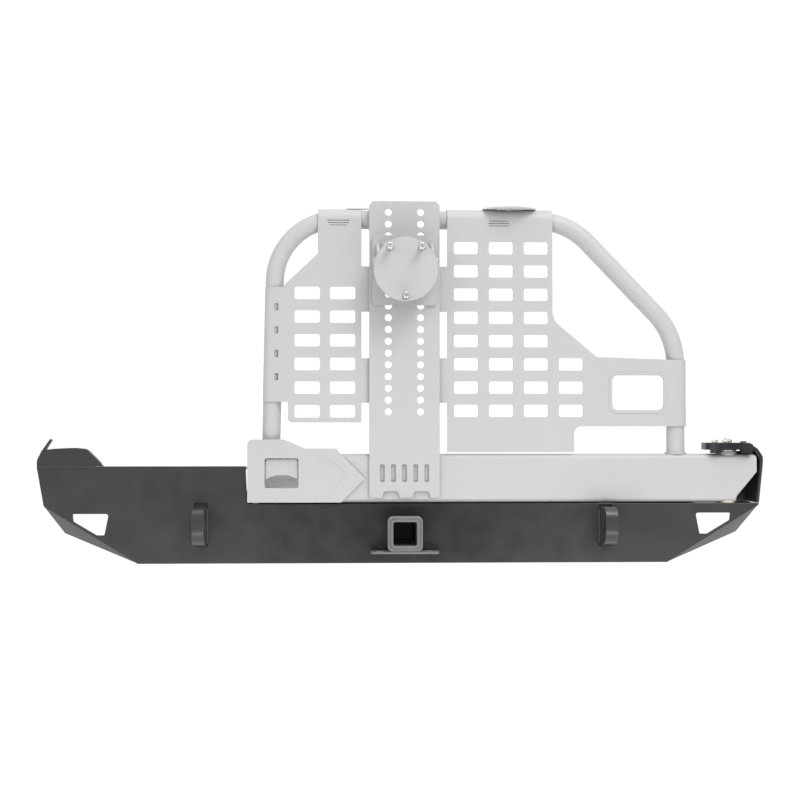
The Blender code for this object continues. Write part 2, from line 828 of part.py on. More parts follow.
def make_arm(model):
    """A rectangular tube, open at its free end, that the pivot barrel passes through."""
    depth, height = ARM_BACK - ARM_FRONT, ARM_TOP - ARM_BOTTOM
    outer = rectangle(ARM_MIDDLE_Y, ARM_MIDDLE_Z, depth, height, ARM_CORNER, 4)
    inner = rectangle(
        ARM_MIDDLE_Y,
        ARM_MIDDLE_Z,
        depth - 2 * ARM_WALL,
        height - 2 * ARM_WALL,
        ARM_CORNER - ARM_WALL,
        3,
    )
    arm = as_mesh(model, flat(model, "swing_arm", "grey", "YZ", outer, ARM_LEFT, ARM_RIGHT))
    hollow = as_mesh(model, flat(model, "arm_hollow", "grey", "YZ", inner, ARM_LEFT - 0.02, 0.665))
    end_profile = rounded_outline(
        [
            (0.723, ARM_BOTTOM - 0.01, 0),
            (0.723, 0.141, 0.003),
            (ARM_RIGHT, 0.196, 0.004),
            (ARM_RIGHT, ARM_TOP, 0.009),
            (0.740, ARM_TOP, 0),
            (0.740, ARM_TOP + 0.01, 0),
            (ARM_RIGHT + 0.02, ARM_TOP + 0.01, 0),
            (ARM_RIGHT + 0.02, ARM_BOTTOM - 0.01, 0),
        ],
        3,
    )
    end_cut = as_mesh(
        model,
        flat(model, "arm_end", "grey", "XZ", end_profile, ARM_FRONT - 0.01, ARM_BACK + 0.01),
    )
    barrel_hole = rod(
        model,
        "barrel_hole",
        "grey",
        "Z",
        (PIVOT_X, ARM_MIDDLE_Y, 0.1),
        0.17,
        BARREL_RADIUS + GAP,
        24,
    )
    window = box(
        model,
        "arm_window",
        "grey",
        (WINDOW_LEFT, ARM_FRONT - 0.01, WINDOW_BOTTOM - 0.004),
        (WINDOW_RIGHT, ARM_FRONT + ARM_WALL + PADDLE_SWING, ARM_TOP - 0.003),
    )
    bolt_hole = rod(
        model,
        "arm_bolt_hole",
        "grey",
        "Z",
        (LATCH_BOLT_X, ARM_MIDDLE_Y, 0.12),
        0.02,
        LATCH_BOLT_RADIUS + 0.0006,
    )
    cut(model, arm, hollow, end_cut, barrel_hole, window, bolt_hole)


# Latch


def make_latch_bracket(model):
    """The shaped cover of the arm's free end, with a folded end and the handle's window."""
    front, back = ARM_FRONT - GAP - 0.005, ARM_FRONT - GAP
    low = ARM_BOTTOM + 0.001
    outline = rounded_outline(
        [
            (-0.338, low, 0.003),
            (-0.137, low, 0.002),
            (-0.085, ARM_MIDDLE_Z, 0.003),
            (-0.137, ARM_TOP - 0.0005, 0.002),
            (-0.147, 0.247, 0.003),
            (-0.214, 0.247, 0.006),
            (-0.260, 0.2665, 0.006),
            (-0.338, 0.2665, 0.011),
        ]
    )
    centre_x = (WINDOW_LEFT + WINDOW_RIGHT) / 2
    centre_z = (WINDOW_BOTTOM + WINDOW_TOP) / 2
    width, height = WINDOW_RIGHT - WINDOW_LEFT, WINDOW_TOP - WINDOW_BOTTOM
    window = rectangle(centre_x, centre_z, width, height, 0.004)
    bracket = as_mesh(
        model, flat(model, "latch_bracket", "grey", "XZ", outline, front, back, [window])
    )
    end = box(
        model, "bracket_end", "grey", (-0.338, front + 0.001, low), (-0.3334, ARM_BACK, 0.237)
    )
    joined(model, bracket, end)


def make_latch_housing(model):
    """A tray inside the arm, behind the window. Its sides hold the handle's pin."""
    low = (-0.3055, -0.1640, 0.1385)
    high = (-0.2235, -0.1260, ARM_TOP - 0.0085)
    housing = box(model, "latch_housing", "grey", low, high)
    hollow = box(
        model,
        "housing_hollow",
        "grey",
        (low[0] + SHEET, low[1] - 0.01, low[2] + SHEET),
        (high[0] - SHEET, high[1] - SHEET, high[2] + 0.01),
    )
    pin_hole = rod(
        model,
        "pin_hole_in_housing",
        "grey",
        "X",
        (-0.32, HANDLE_PIN_Y, HANDLE_PIN_Z),
        0.12,
        HANDLE_PIN_RADIUS + GAP,
        12,
    )
    cut(model, housing, hollow, pin_hole)
    rod(
        model,
        "handle_pin",
        "zinc",
        "X",
        (-0.3052, HANDLE_PIN_Y, HANDLE_PIN_Z),
        0.0814,
        HANDLE_PIN_RADIUS,
        12,
    )


def make_paddle(model):
    """The pull handle: a plate with an arched finger edge, on a hub round the pin."""
    left, right, top = -0.2985, -0.2305, 0.2240
    finger_edge = arc(-0.2645, 0.1350, 0.0560, 127.4, 52.6, 10)
    outline = [(left, top), *finger_edge, (right, top)]
    paddle = as_mesh(
        model, flat(model, "latch_paddle", "grey", "XZ", outline, -0.1690, -0.1662)
    )
    web = box(model, "paddle_web", "grey", (-0.297, -0.1670, 0.2130), (-0.264, -0.1570, 0.2238))
    hub = rod(
        model, "paddle_hub", "grey", "X", (-0.297, HANDLE_PIN_Y, HANDLE_PIN_Z), 0.033, 0.0072
    )
    joined(model, paddle, web, hub)
    bore = rod(
        model,
        "paddle_bore",
        "grey",
        "X",
        (-0.31, HANDLE_PIN_Y, HANDLE_PIN_Z),
        0.06,
        HANDLE_PIN_RADIUS + GAP,
        12,
    )
    cut(model, paddle, bore)
    return paddle


def make_latch_spring(model):
    """The torsion spring beside the hub, a helix round the pin."""
    turns, points_per_turn, pitch, radius = 5, 10, 0.0036, 0.0062
    curve = bpy.data.curves.new("latch_spring", "CURVE")
    curve.dimensions = "3D"
    curve.bevel_depth = 0.0008
    curve.bevel_resolution = 1
    curve.use_fill_caps = True
    spline = curve.splines.new("POLY")
    spline.points.add(turns * points_per_turn)
    for i, point in enumerate(spline.points):
        turn = 2 * math.pi * i / points_per_turn
        x = -0.2585 + pitch * i / points_per_turn
        y = HANDLE_PIN_Y + radius * math.cos(turn)
        z = HANDLE_PIN_Z + radius * math.sin(turn)
        point.co = (x, y, z, 1)
    model.part("latch_spring", curve, "zinc")


def make_latch_bolt(model):
    bolt = rod(
        model,
        "latch_bolt",
        "zinc",
        "Z",
        (LATCH_BOLT_X, ARM_MIDDLE_Y, 0.108),
        0.064,
        LATCH_BOLT_RADIUS,
    )
    keeper_low = (LATCH_BOLT_X - 0.018, -0.163, SHELF_TOP + GAP)
    keeper_high = (LATCH_BOLT_X + 0.018, -0.126, 0.1255)
    keeper = box(model, "latch_keeper", "zinc", keeper_low, keeper_high)
    keeper_hole = rod(
        model,
        "keeper_hole",
        "zinc",
        "Z",
        (LATCH_BOLT_X, ARM_MIDDLE_Y, 0.10),
        0.04,
        LATCH_BOLT_RADIUS + 0.0008,
    )
    cut(model, keeper, keeper_hole)
    box(
        model,
        "rest_pad",
        "rubber",
        (-0.270, -0.160, SHELF_TOP + GAP),
        (-0.200, -0.129, ARM_BOTTOM - GAP),
    )
    return bolt


# Frame and panels


def bent_tube(model, name, corners, bends):
    path = rounded_path(corners, bends, 8)
    curve = bpy.data.curves.new(name, "CURVE")
    curve.dimensions = "3D"
    curve.bevel_depth = TUBE_RADIUS
    curve.bevel_resolution = 4
    curve.use_fill_caps = True
    spline = curve.splines.new("POLY")
    spline.points.add(len(path) - 1)
    for point, (x, z) in zip(spline.points, path):
        point.co = (x, ARM_MIDDLE_Y, z, 1)
    model.part(name, curve, "grey")


def make_tube_frame(model):
    """Two bent tubes, each from the arm to the upright's stiffener on its side."""
    inner_x = STIFFENER_OUTER_X + GAP
    left = [
        (LEFT_LEG_FOOT_X, ARM_TOP + GAP + 0.0005),
        (LEFT_LEG_TOP_X, TUBE_TOP_Z),
        (-inner_x, TUBE_TOP_Z),
    ]
    right = [
        (inner_x, TUBE_TOP_Z),
        (DIAGONAL_START_X, TUBE_TOP_Z),
        (RIGHT_LEG_X, DIAGONAL_END_Z),
        (RIGHT_LEG_X, ARM_TOP + GAP),
    ]
    bent_tube(model, "tube_left", left, TUBE_BENDS[:1])
    bent_tube(model, "tube_right", right, TUBE_BENDS[1:])


def left_leg_x(z):
    """Where the left leg's centreline is at a height: it leans outward towards its foot."""
    share = (z - ARM_TOP) / (TUBE_TOP_Z - ARM_TOP)
    return LEFT_LEG_FOOT_X + share * (LEFT_LEG_TOP_X - LEFT_LEG_FOOT_X)


def tie_tabs(side):
    """The panel's inner edge, upwards, with the tabs that reach behind the upright."""
    points = []
    for low, high in TIE_TABS_Z:
        points += [
            (side * PANEL_EDGE_X, low),
            (side * TIE_TAB_END_X, low),
            (side * TIE_TAB_END_X, high),
            (side * PANEL_EDGE_X, high),
        ]
    return points


def top_wrap(model, name, low_x, high_x):
    """The part of a panel that folds over the top tube."""
    path = arc(ARM_MIDDLE_Y, TUBE_TOP_Z, WRAP_OUTER, 183, 60, 9)
    fold = flat(model, name, "grey", "YZ", band(path, SHEET), low_x, high_x)
    return as_mesh(model, fold)


def leg_wrap(model, name, path, low, high):
    """The part of a panel that folds round the outside of a leg.

    Both ends are (x, z) points on the leg's centreline, and the path is round that line.
    """
    fold = as_mesh(model, flat(model, name, "grey", "XY", band(path, SHEET), low[1], high[1]))
    lean = (high[0] - low[0]) / (high[1] - low[1])
    for vertex in fold.data.vertices:
        height = fold.location.z + vertex.co.z - low[1]
        vertex.co.x += low[0] + lean * height
    return fold


def make_right_panel(model):
    edge = PANEL_EDGE_X
    corners = [
        (edge, 0.2392, 0),
        (0.3695, 0.2392, 0.002),
        (0.3695, 0.295, 0.015),
        (RIGHT_LEG_X, 0.295, 0),
        (RIGHT_LEG_X, 0.4395, 0),
        (0.419, 0.446, 0.006),
        (0.329, 0.522, 0.014),
        (0.3225, 0.540, 0.006),
        (0.3225, TUBE_TOP_Z, 0),
        (edge, TUBE_TOP_Z, 0),
    ]
    outline = rounded_outline(corners, 3) + tie_tabs(1)[::-1]
    rows = [STRAP_BOTTOM_Z + STRAP_PITCH_Z * row for row in range(8)]
    places = [(STRAP_RIGHT_X + STRAP_PITCH_X * column, z) for column in range(3) for z in rows]
    places += [(STRAP_RIGHT_X + STRAP_PITCH_X * 3, z) for z in rows[:3]]
    slots = [rectangle(x, z, *RIGHT_SLOT, SLOT_CORNER) for x, z in places]
    window = rectangle(0.509, 0.368, 0.112, 0.076, 0.013, 4)
    panel = as_mesh(
        model,
        flat(
            model, "panel_right", "grey", "XZ", outline, PANEL_FRONT, PANEL_BACK, [*slots, window]
        ),
    )
    top = top_wrap(model, "right_top_wrap", edge, 0.3225)
    path = arc(0, ARM_MIDDLE_Y, WRAP_OUTER, 5, -93, 8)
    ends = ((RIGHT_LEG_X, 0.295), (RIGHT_LEG_X, 0.4395))
    leg = leg_wrap(model, "right_leg_wrap", path, *ends)
    joined(model, panel, top, leg)


def make_left_panel(model):
    edge = -PANEL_EDGE_X
    corners = [
        (edge, TUBE_TOP_Z, 0),
        (-0.187, TUBE_TOP_Z, 0),
        (-0.187, 0.669, 0.003),
        (-0.257, 0.603, 0.004),
        (-0.262, 0.596, 0.004),
        (left_leg_x(0.596), 0.596, 0),
        (left_leg_x(0.348), 0.348, 0),
        (-0.251, 0.348, 0.004),
        (-0.251, 0.3035, 0.009),
        (edge, 0.3035, 0.002),
    ]
    outline = rounded_outline(corners, 3) + tie_tabs(-1)
    rows = [LEFT_STRAP_BOTTOM_Z + LEFT_STRAP_PITCH_Z * row for row in range(6)]
    places = [(STRAP_LEFT_X - STRAP_PITCH_X * column, z) for column in range(2) for z in rows]
    slots = [rectangle(x, z, *LEFT_SLOT, SLOT_CORNER) for x, z in places]
    slots += [rectangle(-0.2765, z, 0.008, 0.016, 0.003) for z in (0.402, 0.452, 0.503, 0.553)]
    panel = as_mesh(
        model, flat(model, "panel_left", "grey", "XZ", outline, PANEL_FRONT, PANEL_BACK, slots)
    )
    top = top_wrap(model, "left_top_wrap", -0.187, edge)
    path = arc(0, ARM_MIDDLE_Y, WRAP_OUTER, -87, -150, 6)
    ends = ((left_leg_x(0.348), 0.348), (left_leg_x(0.596), 0.596))
    leg = leg_wrap(model, "left_leg_wrap", path, *ends)
    joined(model, panel, top, leg)


def make_top_plates(model):
    low = TUBE_TOP_Z + WRAP_OUTER + GAP
    disc = circle(0.230, ARM_MIDDLE_Y, 0.059, 32)
    hole = circle(0.230, ARM_MIDDLE_Y, 0.005, 12)
    flat(model, "antenna_plate", "grey", "XY", disc, low, low + 0.003, [hole])
    tab = rectangle(-0.101, ARM_MIDDLE_Y, 0.048, 0.014, 0.003)
    flat(model, "light_tab", "grey", "XY", tab, low, low + 0.0032)


# Upright and wheel mount


def make_upright(model):
    """The perforated plate that carries the wheel, with a stiffener behind each edge."""
    half = UPRIGHT_HALF_WIDTH
    corners = [
        (-half, UPRIGHT_BOTTOM, 0.007),
        (-0.049, UPRIGHT_BOTTOM, 0),
        (-0.044, 0.155, 0.006),
        (-0.015, 0.155, 0.006),
        (-0.010, UPRIGHT_BOTTOM, 0),
        (0.017, UPRIGHT_BOTTOM, 0),
        (0.022, 0.155, 0.006),
        (0.052, 0.155, 0.006),
        (0.057, UPRIGHT_BOTTOM, 0),
        (half, UPRIGHT_BOTTOM, 0.007),
        (half, UPRIGHT_TOP - 0.009, 0.003),
        (half - 0.008, UPRIGHT_TOP, 0.003),
        (0.008 - half, UPRIGHT_TOP, 0.003),
        (-half, UPRIGHT_TOP - 0.009, 0.003),
    ]
    outline = rounded_outline(corners, 3)
    rows = [HOLE_TOP_Z - HOLE_PITCH * row for row in range(HOLE_ROWS)]
    holes = [circle(side * HOLE_X, z, HOLE_RADIUS) for side in (-1, 1) for z in rows]
    holes += [rectangle(0.024 * i, 0.194, 0.010, 0.038, 0.004) for i in range(-2, 3)]
    flat(model, "upright_plate", "grey", "XZ", outline, UPRIGHT_FRONT, UPRIGHT_BACK, holes)
    for side, label in ((-1, "left"), (1, "right")):
        low_x, high_x = sorted((side * (STIFFENER_OUTER_X - 0.005), side * STIFFENER_OUTER_X))
        low = (low_x, UPRIGHT_BACK + GAP, ARM_TOP + GAP)
        high = (high_x, -0.122, STIFFENER_TOP)
        box(model, "upright_stiffener_" + label, "grey", low, high)


def make_wheel_base(model):
    """The bolted base with two ears, its clamped backing plate and the bolts."""
    rows = [0.6818, 0.6056]
    bolt_holes = [circle(side * HOLE_X, z, 0.0066) for side in (-1, 1) for z in rows]
    open_holes = [circle(side * HOLE_X, 0.5802, HOLE_RADIUS) for side in (-1, 1)]
    plate = rectangle(0, 0.6315, 0.140, 0.151, 0.006)
    base = as_mesh(
        model,
        flat(model, "wheel_base", "grey", "XZ", plate, BASE_FRONT, BASE_BACK, bolt_holes + open_holes),
    )
    ear = rounded_outline(
        [
            (BASE_FRONT + 0.002, 0.600, 0),
            (-0.2335, 0.625, 0.010),
            (-0.2335, 0.672, 0.012),
            (BASE_FRONT + 0.002, 0.690, 0),
        ]
    )
    clamp_hole = circle(CLAMP_Y, CLAMP_Z, CLAMP_RADIUS + 0.0005)
    for side, label in ((-1, "left"), (1, "right")):
        low, high = sorted((side * 0.0551, side * 0.0611))
        joined(
            model,
            base,
            as_mesh(model, flat(model, "ear_" + label, "grey", "YZ", ear, low, high, [clamp_hole])),
        )
        seat = (side * (0.0611 + GAP), CLAMP_Y, CLAMP_Z)
        hex_bolt(
            model, "clamp_bolt_" + label, "zinc", "X", seat, side * 0.0078, 0.019, 0.0235, CLAMP_RADIUS
        )
        nut_start = (0.0386 if side > 0 else -0.0484, CLAMP_Y, CLAMP_Z)
        nut = rod(
            model, "clamp_nut_" + label, "zinc", "X", nut_start, 0.0098, 0.019 / math.sqrt(3), 6
        )
        bore = rod(
            model,
            "clamp_nut_bore_" + label,
            "zinc",
            "X",
            (nut_start[0] - 0.01, CLAMP_Y, CLAMP_Z),
            0.03,
            CLAMP_RADIUS + GAP,
            12,
        )
        cut(model, nut, bore)
    backing = rectangle(0, 0.6437, 0.120, 0.100, 0.006)
    flat(
        model,
        "backing_plate",
        "grey",
        "XZ",
        backing,
        UPRIGHT_BACK + GAP,
        UPRIGHT_BACK + GAP + 0.006,
        bolt_holes,
    )
    for i, (side, z) in enumerate((side, z) for side in (-1, 1) for z in rows):
        seat = (side * HOLE_X, BASE_FRONT - GAP, z)
        hex_bolt(model, f"base_bolt_{i + 1}", "zinc", "Y", seat, -0.0065, 0.019, 0.024, 0.006)


def make_wheel_mount(model):
    """The sliding carriage, with the disc and studs that hold the wheel."""
    inner_x, outer_x = 0.0487, 0.0547
    low_z, high_z = 0.5970, 0.6640
    front = DISC_BACK + GAP
    carriage = box(
        model, "wheel_carriage", "grey", (-outer_x, front, low_z), (outer_x, front + 0.006, high_z)
    )
    side_plate = rounded_outline(
        [
            (front + 0.001, low_z, 0),
            (front + 0.001, high_z, 0),
            (BASE_FRONT - 0.0007, high_z, 0.008),
            (BASE_FRONT - 0.0007, low_z, 0.008),
        ]
    )
    slot_half = CLAMP_RADIUS + 0.0006
    slot = rectangle(
        CLAMP_Y + SLIDE_TRAVEL / 2,
        CLAMP_Z,
        SLIDE_TRAVEL + 2 * slot_half + 0.001,
        2 * slot_half,
        0.004,
    )
    for side, label in ((-1, "left"), (1, "right")):
        low, high = sorted((side * inner_x, side * outer_x))
        cheek = flat(model, "carriage_side_" + label, "grey", "YZ", side_plate, low, high, [slot])
        joined(model, carriage, as_mesh(model, cheek))

    angles = [math.radians(degrees) for degrees in STUD_ANGLES]
    places = [
        (STUD_CIRCLE_RADIUS * math.cos(turn), WHEEL_Z + STUD_CIRCLE_RADIUS * math.sin(turn))
        for turn in angles
    ]
    holes = [circle(x, z, STUD_RADIUS + 0.0004) for x, z in places]
    outline = circle(0, WHEEL_Z, DISC_RADIUS, 40)
    disc = flat(model, "wheel_disc", "grey", "XZ", outline, DISC_FRONT, DISC_BACK, holes)
    studs = []
    for i, (x, z) in enumerate(places):
        head = rod(
            model, f"wheel_stud_{i + 1}", "zinc", "Y", (x, DISC_BACK + GAP, z), 0.0045, 0.0085, 16
        )
        shank = rod(
            model, f"stud_shank_{i + 1}", "zinc", "Y", (x, -0.280, z), 0.046, STUD_RADIUS, 12
        )
        studs.append(joined(model, head, shank))
    return [carriage, disc, *studs]


def main():
    for old in list(bpy.data.objects):
        bpy.data.objects.remove(old)
    model = Model()

    make_face(model)
    make_corners(model)
    make_corner_cap(model)
    make_decks(model)
    make_vehicle_mounts(model)
    make_receiver(model)
    make_shackle_tabs(model)
    make_hinge_bracket(model)
    make_spindle(model)
    bolt = make_latch_bolt(model)
    fixed = set(model.parts.objects) - {bolt}

    make_bushes(model)
    make_arm(model)
    make_latch_bracket(model)
    make_latch_housing(model)
    make_latch_spring(model)
    make_tube_frame(model)
    make_right_panel(model)
    make_left_panel(model)
    make_top_plates(model)
    make_upright(model)
    make_wheel_base(model)
    swinging = set(model.parts.objects) - fixed - {bolt}
    paddle = make_paddle(model)
    sliding = make_wheel_mount(model)

    carrier = model.empty("carrier_pivot", (PIVOT_X, ARM_MIDDLE_Y, ARM_BOTTOM))
    handle = model.empty("handle_pivot", (WINDOW_LEFT, HANDLE_PIN_Y, HANDLE_PIN_Z), carrier)
    latch = model.empty("latch_bolt_axis", (LATCH_BOLT_X, ARM_MIDDLE_Y, 0.108), carrier)
    mount = model.empty("wheel_slide_axis", (0, DISC_BACK, WHEEL_Z), carrier)
    for solid in swinging:
        hang(solid, carrier)
    hang(paddle, handle)
    hang(bolt, latch)
    for solid in sliding:
        hang(solid, mount)


main()
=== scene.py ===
import json
import math

import bmesh
import bpy
from mathutils import Matrix, Vector

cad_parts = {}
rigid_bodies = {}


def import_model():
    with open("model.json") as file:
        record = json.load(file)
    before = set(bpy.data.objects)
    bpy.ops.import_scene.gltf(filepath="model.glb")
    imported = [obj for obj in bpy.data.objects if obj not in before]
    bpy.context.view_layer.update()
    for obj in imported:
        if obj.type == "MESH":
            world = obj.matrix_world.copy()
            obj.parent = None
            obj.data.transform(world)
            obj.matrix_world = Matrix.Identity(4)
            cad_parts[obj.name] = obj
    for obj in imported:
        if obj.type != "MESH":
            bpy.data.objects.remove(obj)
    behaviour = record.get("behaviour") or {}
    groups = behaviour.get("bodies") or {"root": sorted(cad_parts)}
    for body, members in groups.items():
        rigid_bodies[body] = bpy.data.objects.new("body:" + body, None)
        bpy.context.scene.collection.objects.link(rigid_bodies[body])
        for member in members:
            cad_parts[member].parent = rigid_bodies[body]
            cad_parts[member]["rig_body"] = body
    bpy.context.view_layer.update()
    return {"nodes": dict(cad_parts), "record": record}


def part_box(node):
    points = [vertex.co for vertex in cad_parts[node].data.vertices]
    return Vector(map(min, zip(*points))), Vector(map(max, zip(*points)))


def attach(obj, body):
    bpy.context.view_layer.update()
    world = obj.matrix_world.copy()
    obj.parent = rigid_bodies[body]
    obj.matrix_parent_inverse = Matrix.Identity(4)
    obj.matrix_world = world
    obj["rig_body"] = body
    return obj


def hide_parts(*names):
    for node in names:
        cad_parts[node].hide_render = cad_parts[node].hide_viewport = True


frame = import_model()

NODES = frame["nodes"]
SLOT_OF = {part["node"]: part["material_slot"] for part in frame["record"]["subparts"]}

# Camera: its place in metres, its turns in radians, its lens and sensor in millimetres
EYE = Vector((-0.143, -3.40, 0.290))
YAW = 0.0413
PITCH = 0.0191
LENS = 67.32
SENSOR = 36

# Shapes shared by several pieces
PLATE_EDGE = 0.0007
ARC_STEPS = 10
BEVEL_ANGLE = math.radians(30)
SMOOTH_ANGLE = math.radians(35)
PLATE_SMOOTH_ANGLE = math.radians(50)
CORD_SMOOTH_ANGLE = math.radians(60)
HEX_SMOOTH_ANGLE = math.radians(25)
CORD_SIDES = 12
WELD_SEAT = 0.0006
SPRING_WIRE = 0.0008

# Places that the CAD fixes, shared by several pieces
TUBE_Y = -0.1446
TUBE_TOP = 0.7448
LEG_FOOT = 0.2347
LEFT_LEG_TOP_X = -0.2781
LEFT_LEG_FOOT_X = -0.2884
RIGHT_LEG_X = 0.596
DIAGONAL_TOP_X = 0.3573
DIAGONAL_FOOT_Z = 0.4959
LEFT_BEND = 0.136
RIGHT_BEND = 0.155
WRAP_OUTER = 0.0229
SHEET = 0.003
EDGE_X = 0.093
TIE_X = 0.0745
FIRST_COLUMN_X = 0.1337
COLUMN_PITCH = 0.0762
MARKS_Z = 0.741
ANTENNA_X = 0.230
FACE_FRONT = -0.170
FACE_BACK = -0.1652
SHACKLE_X = 0.437
RECEIVER_Z = 0.0655
HINGE_TOP = 0.259

# Where painted shade darkens the black coat: a centre, and the radii between which it fades
PAINTED_SHADE_ZONES = (
    ((0.0, -0.17, 0.085), 0.03, 0.40),
    ((0.715, -0.13, 0.240), 0.05, 0.11),
)
DUST_COLOR = (0.30, 0.29, 0.27, 1.0)

PLANES = {
    "XY": Matrix.Identity(4),
    "XZ": Matrix.Rotation(math.pi / 2, 4, "X"),
    "YZ": Matrix.Rotation(math.pi / 2, 4, "Z") @ Matrix.Rotation(math.pi / 2, 4, "X"),
}

# Turns a shape that rises along Z to rise along another axis
AXES = {"-Y": Matrix.Rotation(math.pi / 2, 4, "X"), "Z": Matrix.Identity(4)}


# Materials


class Nodes:
    """Builds a material's node tree with short calls."""

    def __init__(self, name):
        self.material = bpy.data.materials.new(name)
        self.material.use_nodes = True
        self.tree = self.material.node_tree
        self.shader = self.tree.nodes["Principled BSDF"]
        self.place = self.add("ShaderNodeTexCoord").outputs["Object"]

    def add(self, kind, **inputs):
        node = self.tree.nodes.new(kind)
        for key, value in inputs.items():
            self.set(node.inputs[key.replace("_", " ")], value)
        return node

    def set(self, socket, value):
        if isinstance(value, bpy.types.NodeSocket):
            self.tree.links.new(value, socket)
        else:
            socket.default_value = value

    def noise(self, scale, detail=2.0, stretch=None):
        place = self.place
        if stretch:
            mapping = self.add("ShaderNodeMapping", Vector=place, Scale=stretch)
            place = mapping.outputs["Vector"]
        return self.add(
            "ShaderNodeTexNoise", Vector=place, Scale=scale, Detail=detail
        ).outputs["Fac"]

    def remap(self, value, low, high, from_low=0.3, from_high=0.7):
        node = self.add("ShaderNodeMapRange", Value=value)
        node.inputs["From Min"].default_value = from_low
        node.inputs["From Max"].default_value = from_high
        node.inputs["To Min"].default_value = low
        node.inputs["To Max"].default_value = high
        return node.outputs["Result"]

    def mix(self, factor, first, second):
        node = self.tree.nodes.new("ShaderNodeMix")
        node.data_type = "RGBA"
        self.set(node.inputs["Factor"], factor)
        self.set(node.inputs["A"], first)
        self.set(node.inputs["B"], second)
        return node.outputs["Result"]

    def bump(self, height, strength, distance, below=None):
        node = self.add("ShaderNodeBump", Height=height, Strength=strength, Distance=distance)
        if below:
            self.set(node.inputs["Normal"], below)
        return node.outputs["Normal"]


def shade(color, factor):
    return (*(channel * factor for channel in color), 1.0)


def powder_coat(name, color, tone, roughness, grain, depth, dust, painted_shade=False):
    """A baked powder coat: soft tone changes, a fine orange peel and dust on faces that look up.

    With the last flag set, painted shade darkens the coat close to the receiver and to the hinge.
    """
    made = Nodes(name)
    patches = made.remap(made.noise(5, 3), 0.0, 1.0)
    base = made.mix(patches, shade(color, 1 - tone), shade(color, 1 + tone))
    specks = made.remap(made.noise(420, 1), 0.0, 0.35, 0.62, 0.72)
    base = made.mix(specks, base, shade(color, 1 + 3 * tone))
    upward = made.add("ShaderNodeSeparateXYZ")
    made.set(upward.inputs["Vector"], made.add("ShaderNodeNewGeometry").outputs["Normal"])
    film = made.remap(upward.outputs["Z"], 0.0, dust, 0.6, 1.0)
    base = made.mix(film, base, DUST_COLOR)
    # Painted shade: the coat is darkened round the receiver and round the hinge
    for centre, inner, outer in PAINTED_SHADE_ZONES if painted_shade else ():
        distance = made.add("ShaderNodeVectorMath")
        distance.operation = "DISTANCE"
        made.set(distance.inputs[0], made.place)
        distance.inputs[1].default_value = centre
        away = made.remap(distance.outputs["Value"], 0.0, 1.0, inner, outer)
        base = made.mix(away, shade(color, 0.05), base)
    made.set(made.shader.inputs["Base Color"], base)
    smears = made.noise(22, 4)
    made.set(
        made.shader.inputs["Roughness"], made.remap(smears, roughness - 0.05, roughness + 0.06)
    )
    peel = made.bump(made.noise(grain, 2), 0.5, depth)
    made.set(made.shader.inputs["Normal"], made.bump(made.noise(90, 1), 0.25, depth * 2, peel))
    return made.material


def plated(name, cool, warm, roughness, stretch):
    """Bright plating: a cool and a warm tint in patches, and fine tool marks."""
    made = Nodes(name)
    made.shader.inputs["Metallic"].default_value = 1.0
    patches = made.remap(made.noise(60, 3), 0.0, 1.0)
    made.set(made.shader.inputs["Base Color"], made.mix(patches, (*cool, 1), (*warm, 1)))
    smears = made.remap(made.noise(180, 3), roughness - 0.07, roughness + 0.12)
    made.set(made.shader.inputs["Roughness"], smears)
    marks = made.noise(60, 2, stretch)
    made.set(made.shader.inputs["Normal"], made.bump(marks, 0.25, 0.0001))
    return made.material


def moulded_rubber(name):
    made = Nodes(name)
    patches = made.remap(made.noise(30, 3), 0.0, 1.0)
    base = made.mix(patches, (0.018, 0.018, 0.018, 1), (0.034, 0.033, 0.031, 1))
    made.set(made.shader.inputs["Base Color"], base)
    made.shader.inputs["Roughness"].default_value = 0.78
    made.set(made.shader.inputs["Normal"], made.bump(made.noise(700, 2), 0.4, 0.0002))
    return made.material


def coarse_coat(name, color, roughness, painted_shade=False):
    """The bumper's black powder coat."""
    return powder_coat(name, color, 0.10, roughness, 900, 0.00010, 0.03, painted_shade)


def fine_coat(name, color, dust=0.0):
    """The carrier's pale powder coat."""
    return powder_coat(name, color, 0.012, 0.50, 700, 0.00005, dust)


def make_materials():
    return {
        # The black coat carries painted shade round the receiver and the hinge
        "black_coat": coarse_coat("black_coat", (0.018, 0.018, 0.0195), 0.34, painted_shade=True),
        # A lighter copy of the black coat: painted highlight, so the receiver's and chain plate's
        # rims read as lit edges
        "painted_highlight_coat": coarse_coat("painted_highlight_coat", (0.11, 0.11, 0.115), 0.30),
        # A paler copy of the pale coat: painted light on undersides that are seen from below
        "painted_lit_coat": fine_coat("painted_lit_coat", (0.60, 0.60, 0.61)),
        # A near-white copy of the pale coat: painted light in the latch pocket, which would
        # otherwise read in shade
        "painted_lit_pocket_coat": fine_coat("painted_lit_pocket_coat", (0.86, 0.86, 0.87)),
        "pale_coat": fine_coat("pale_coat", (0.332, 0.332, 0.339), dust=0.05),
        "zinc": plated("zinc", (0.62, 0.63, 0.64), (0.66, 0.62, 0.53), 0.30, (1, 1, 12)),
        "bronze": plated("bronze", (0.78, 0.70, 0.60), (0.84, 0.76, 0.66), 0.36, (1, 1, 9)),
        "rubber": moulded_rubber("rubber"),
    }


MATERIALS = make_materials()


# Pieces


def link(name, data):
    """A new object in the scene."""
    thing = bpy.data.objects.new(name, data)
    bpy.context.scene.collection.objects.link(thing)
    return thing


def add_piece(name, mesh, body, slot):
    """A new piece in the row frame, riding on a body, in one of the record's finishes."""
    mesh.materials.clear()
    mesh.materials.append(MATERIALS[slot])
    piece = link(name, mesh)
    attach(piece, body)
    return piece


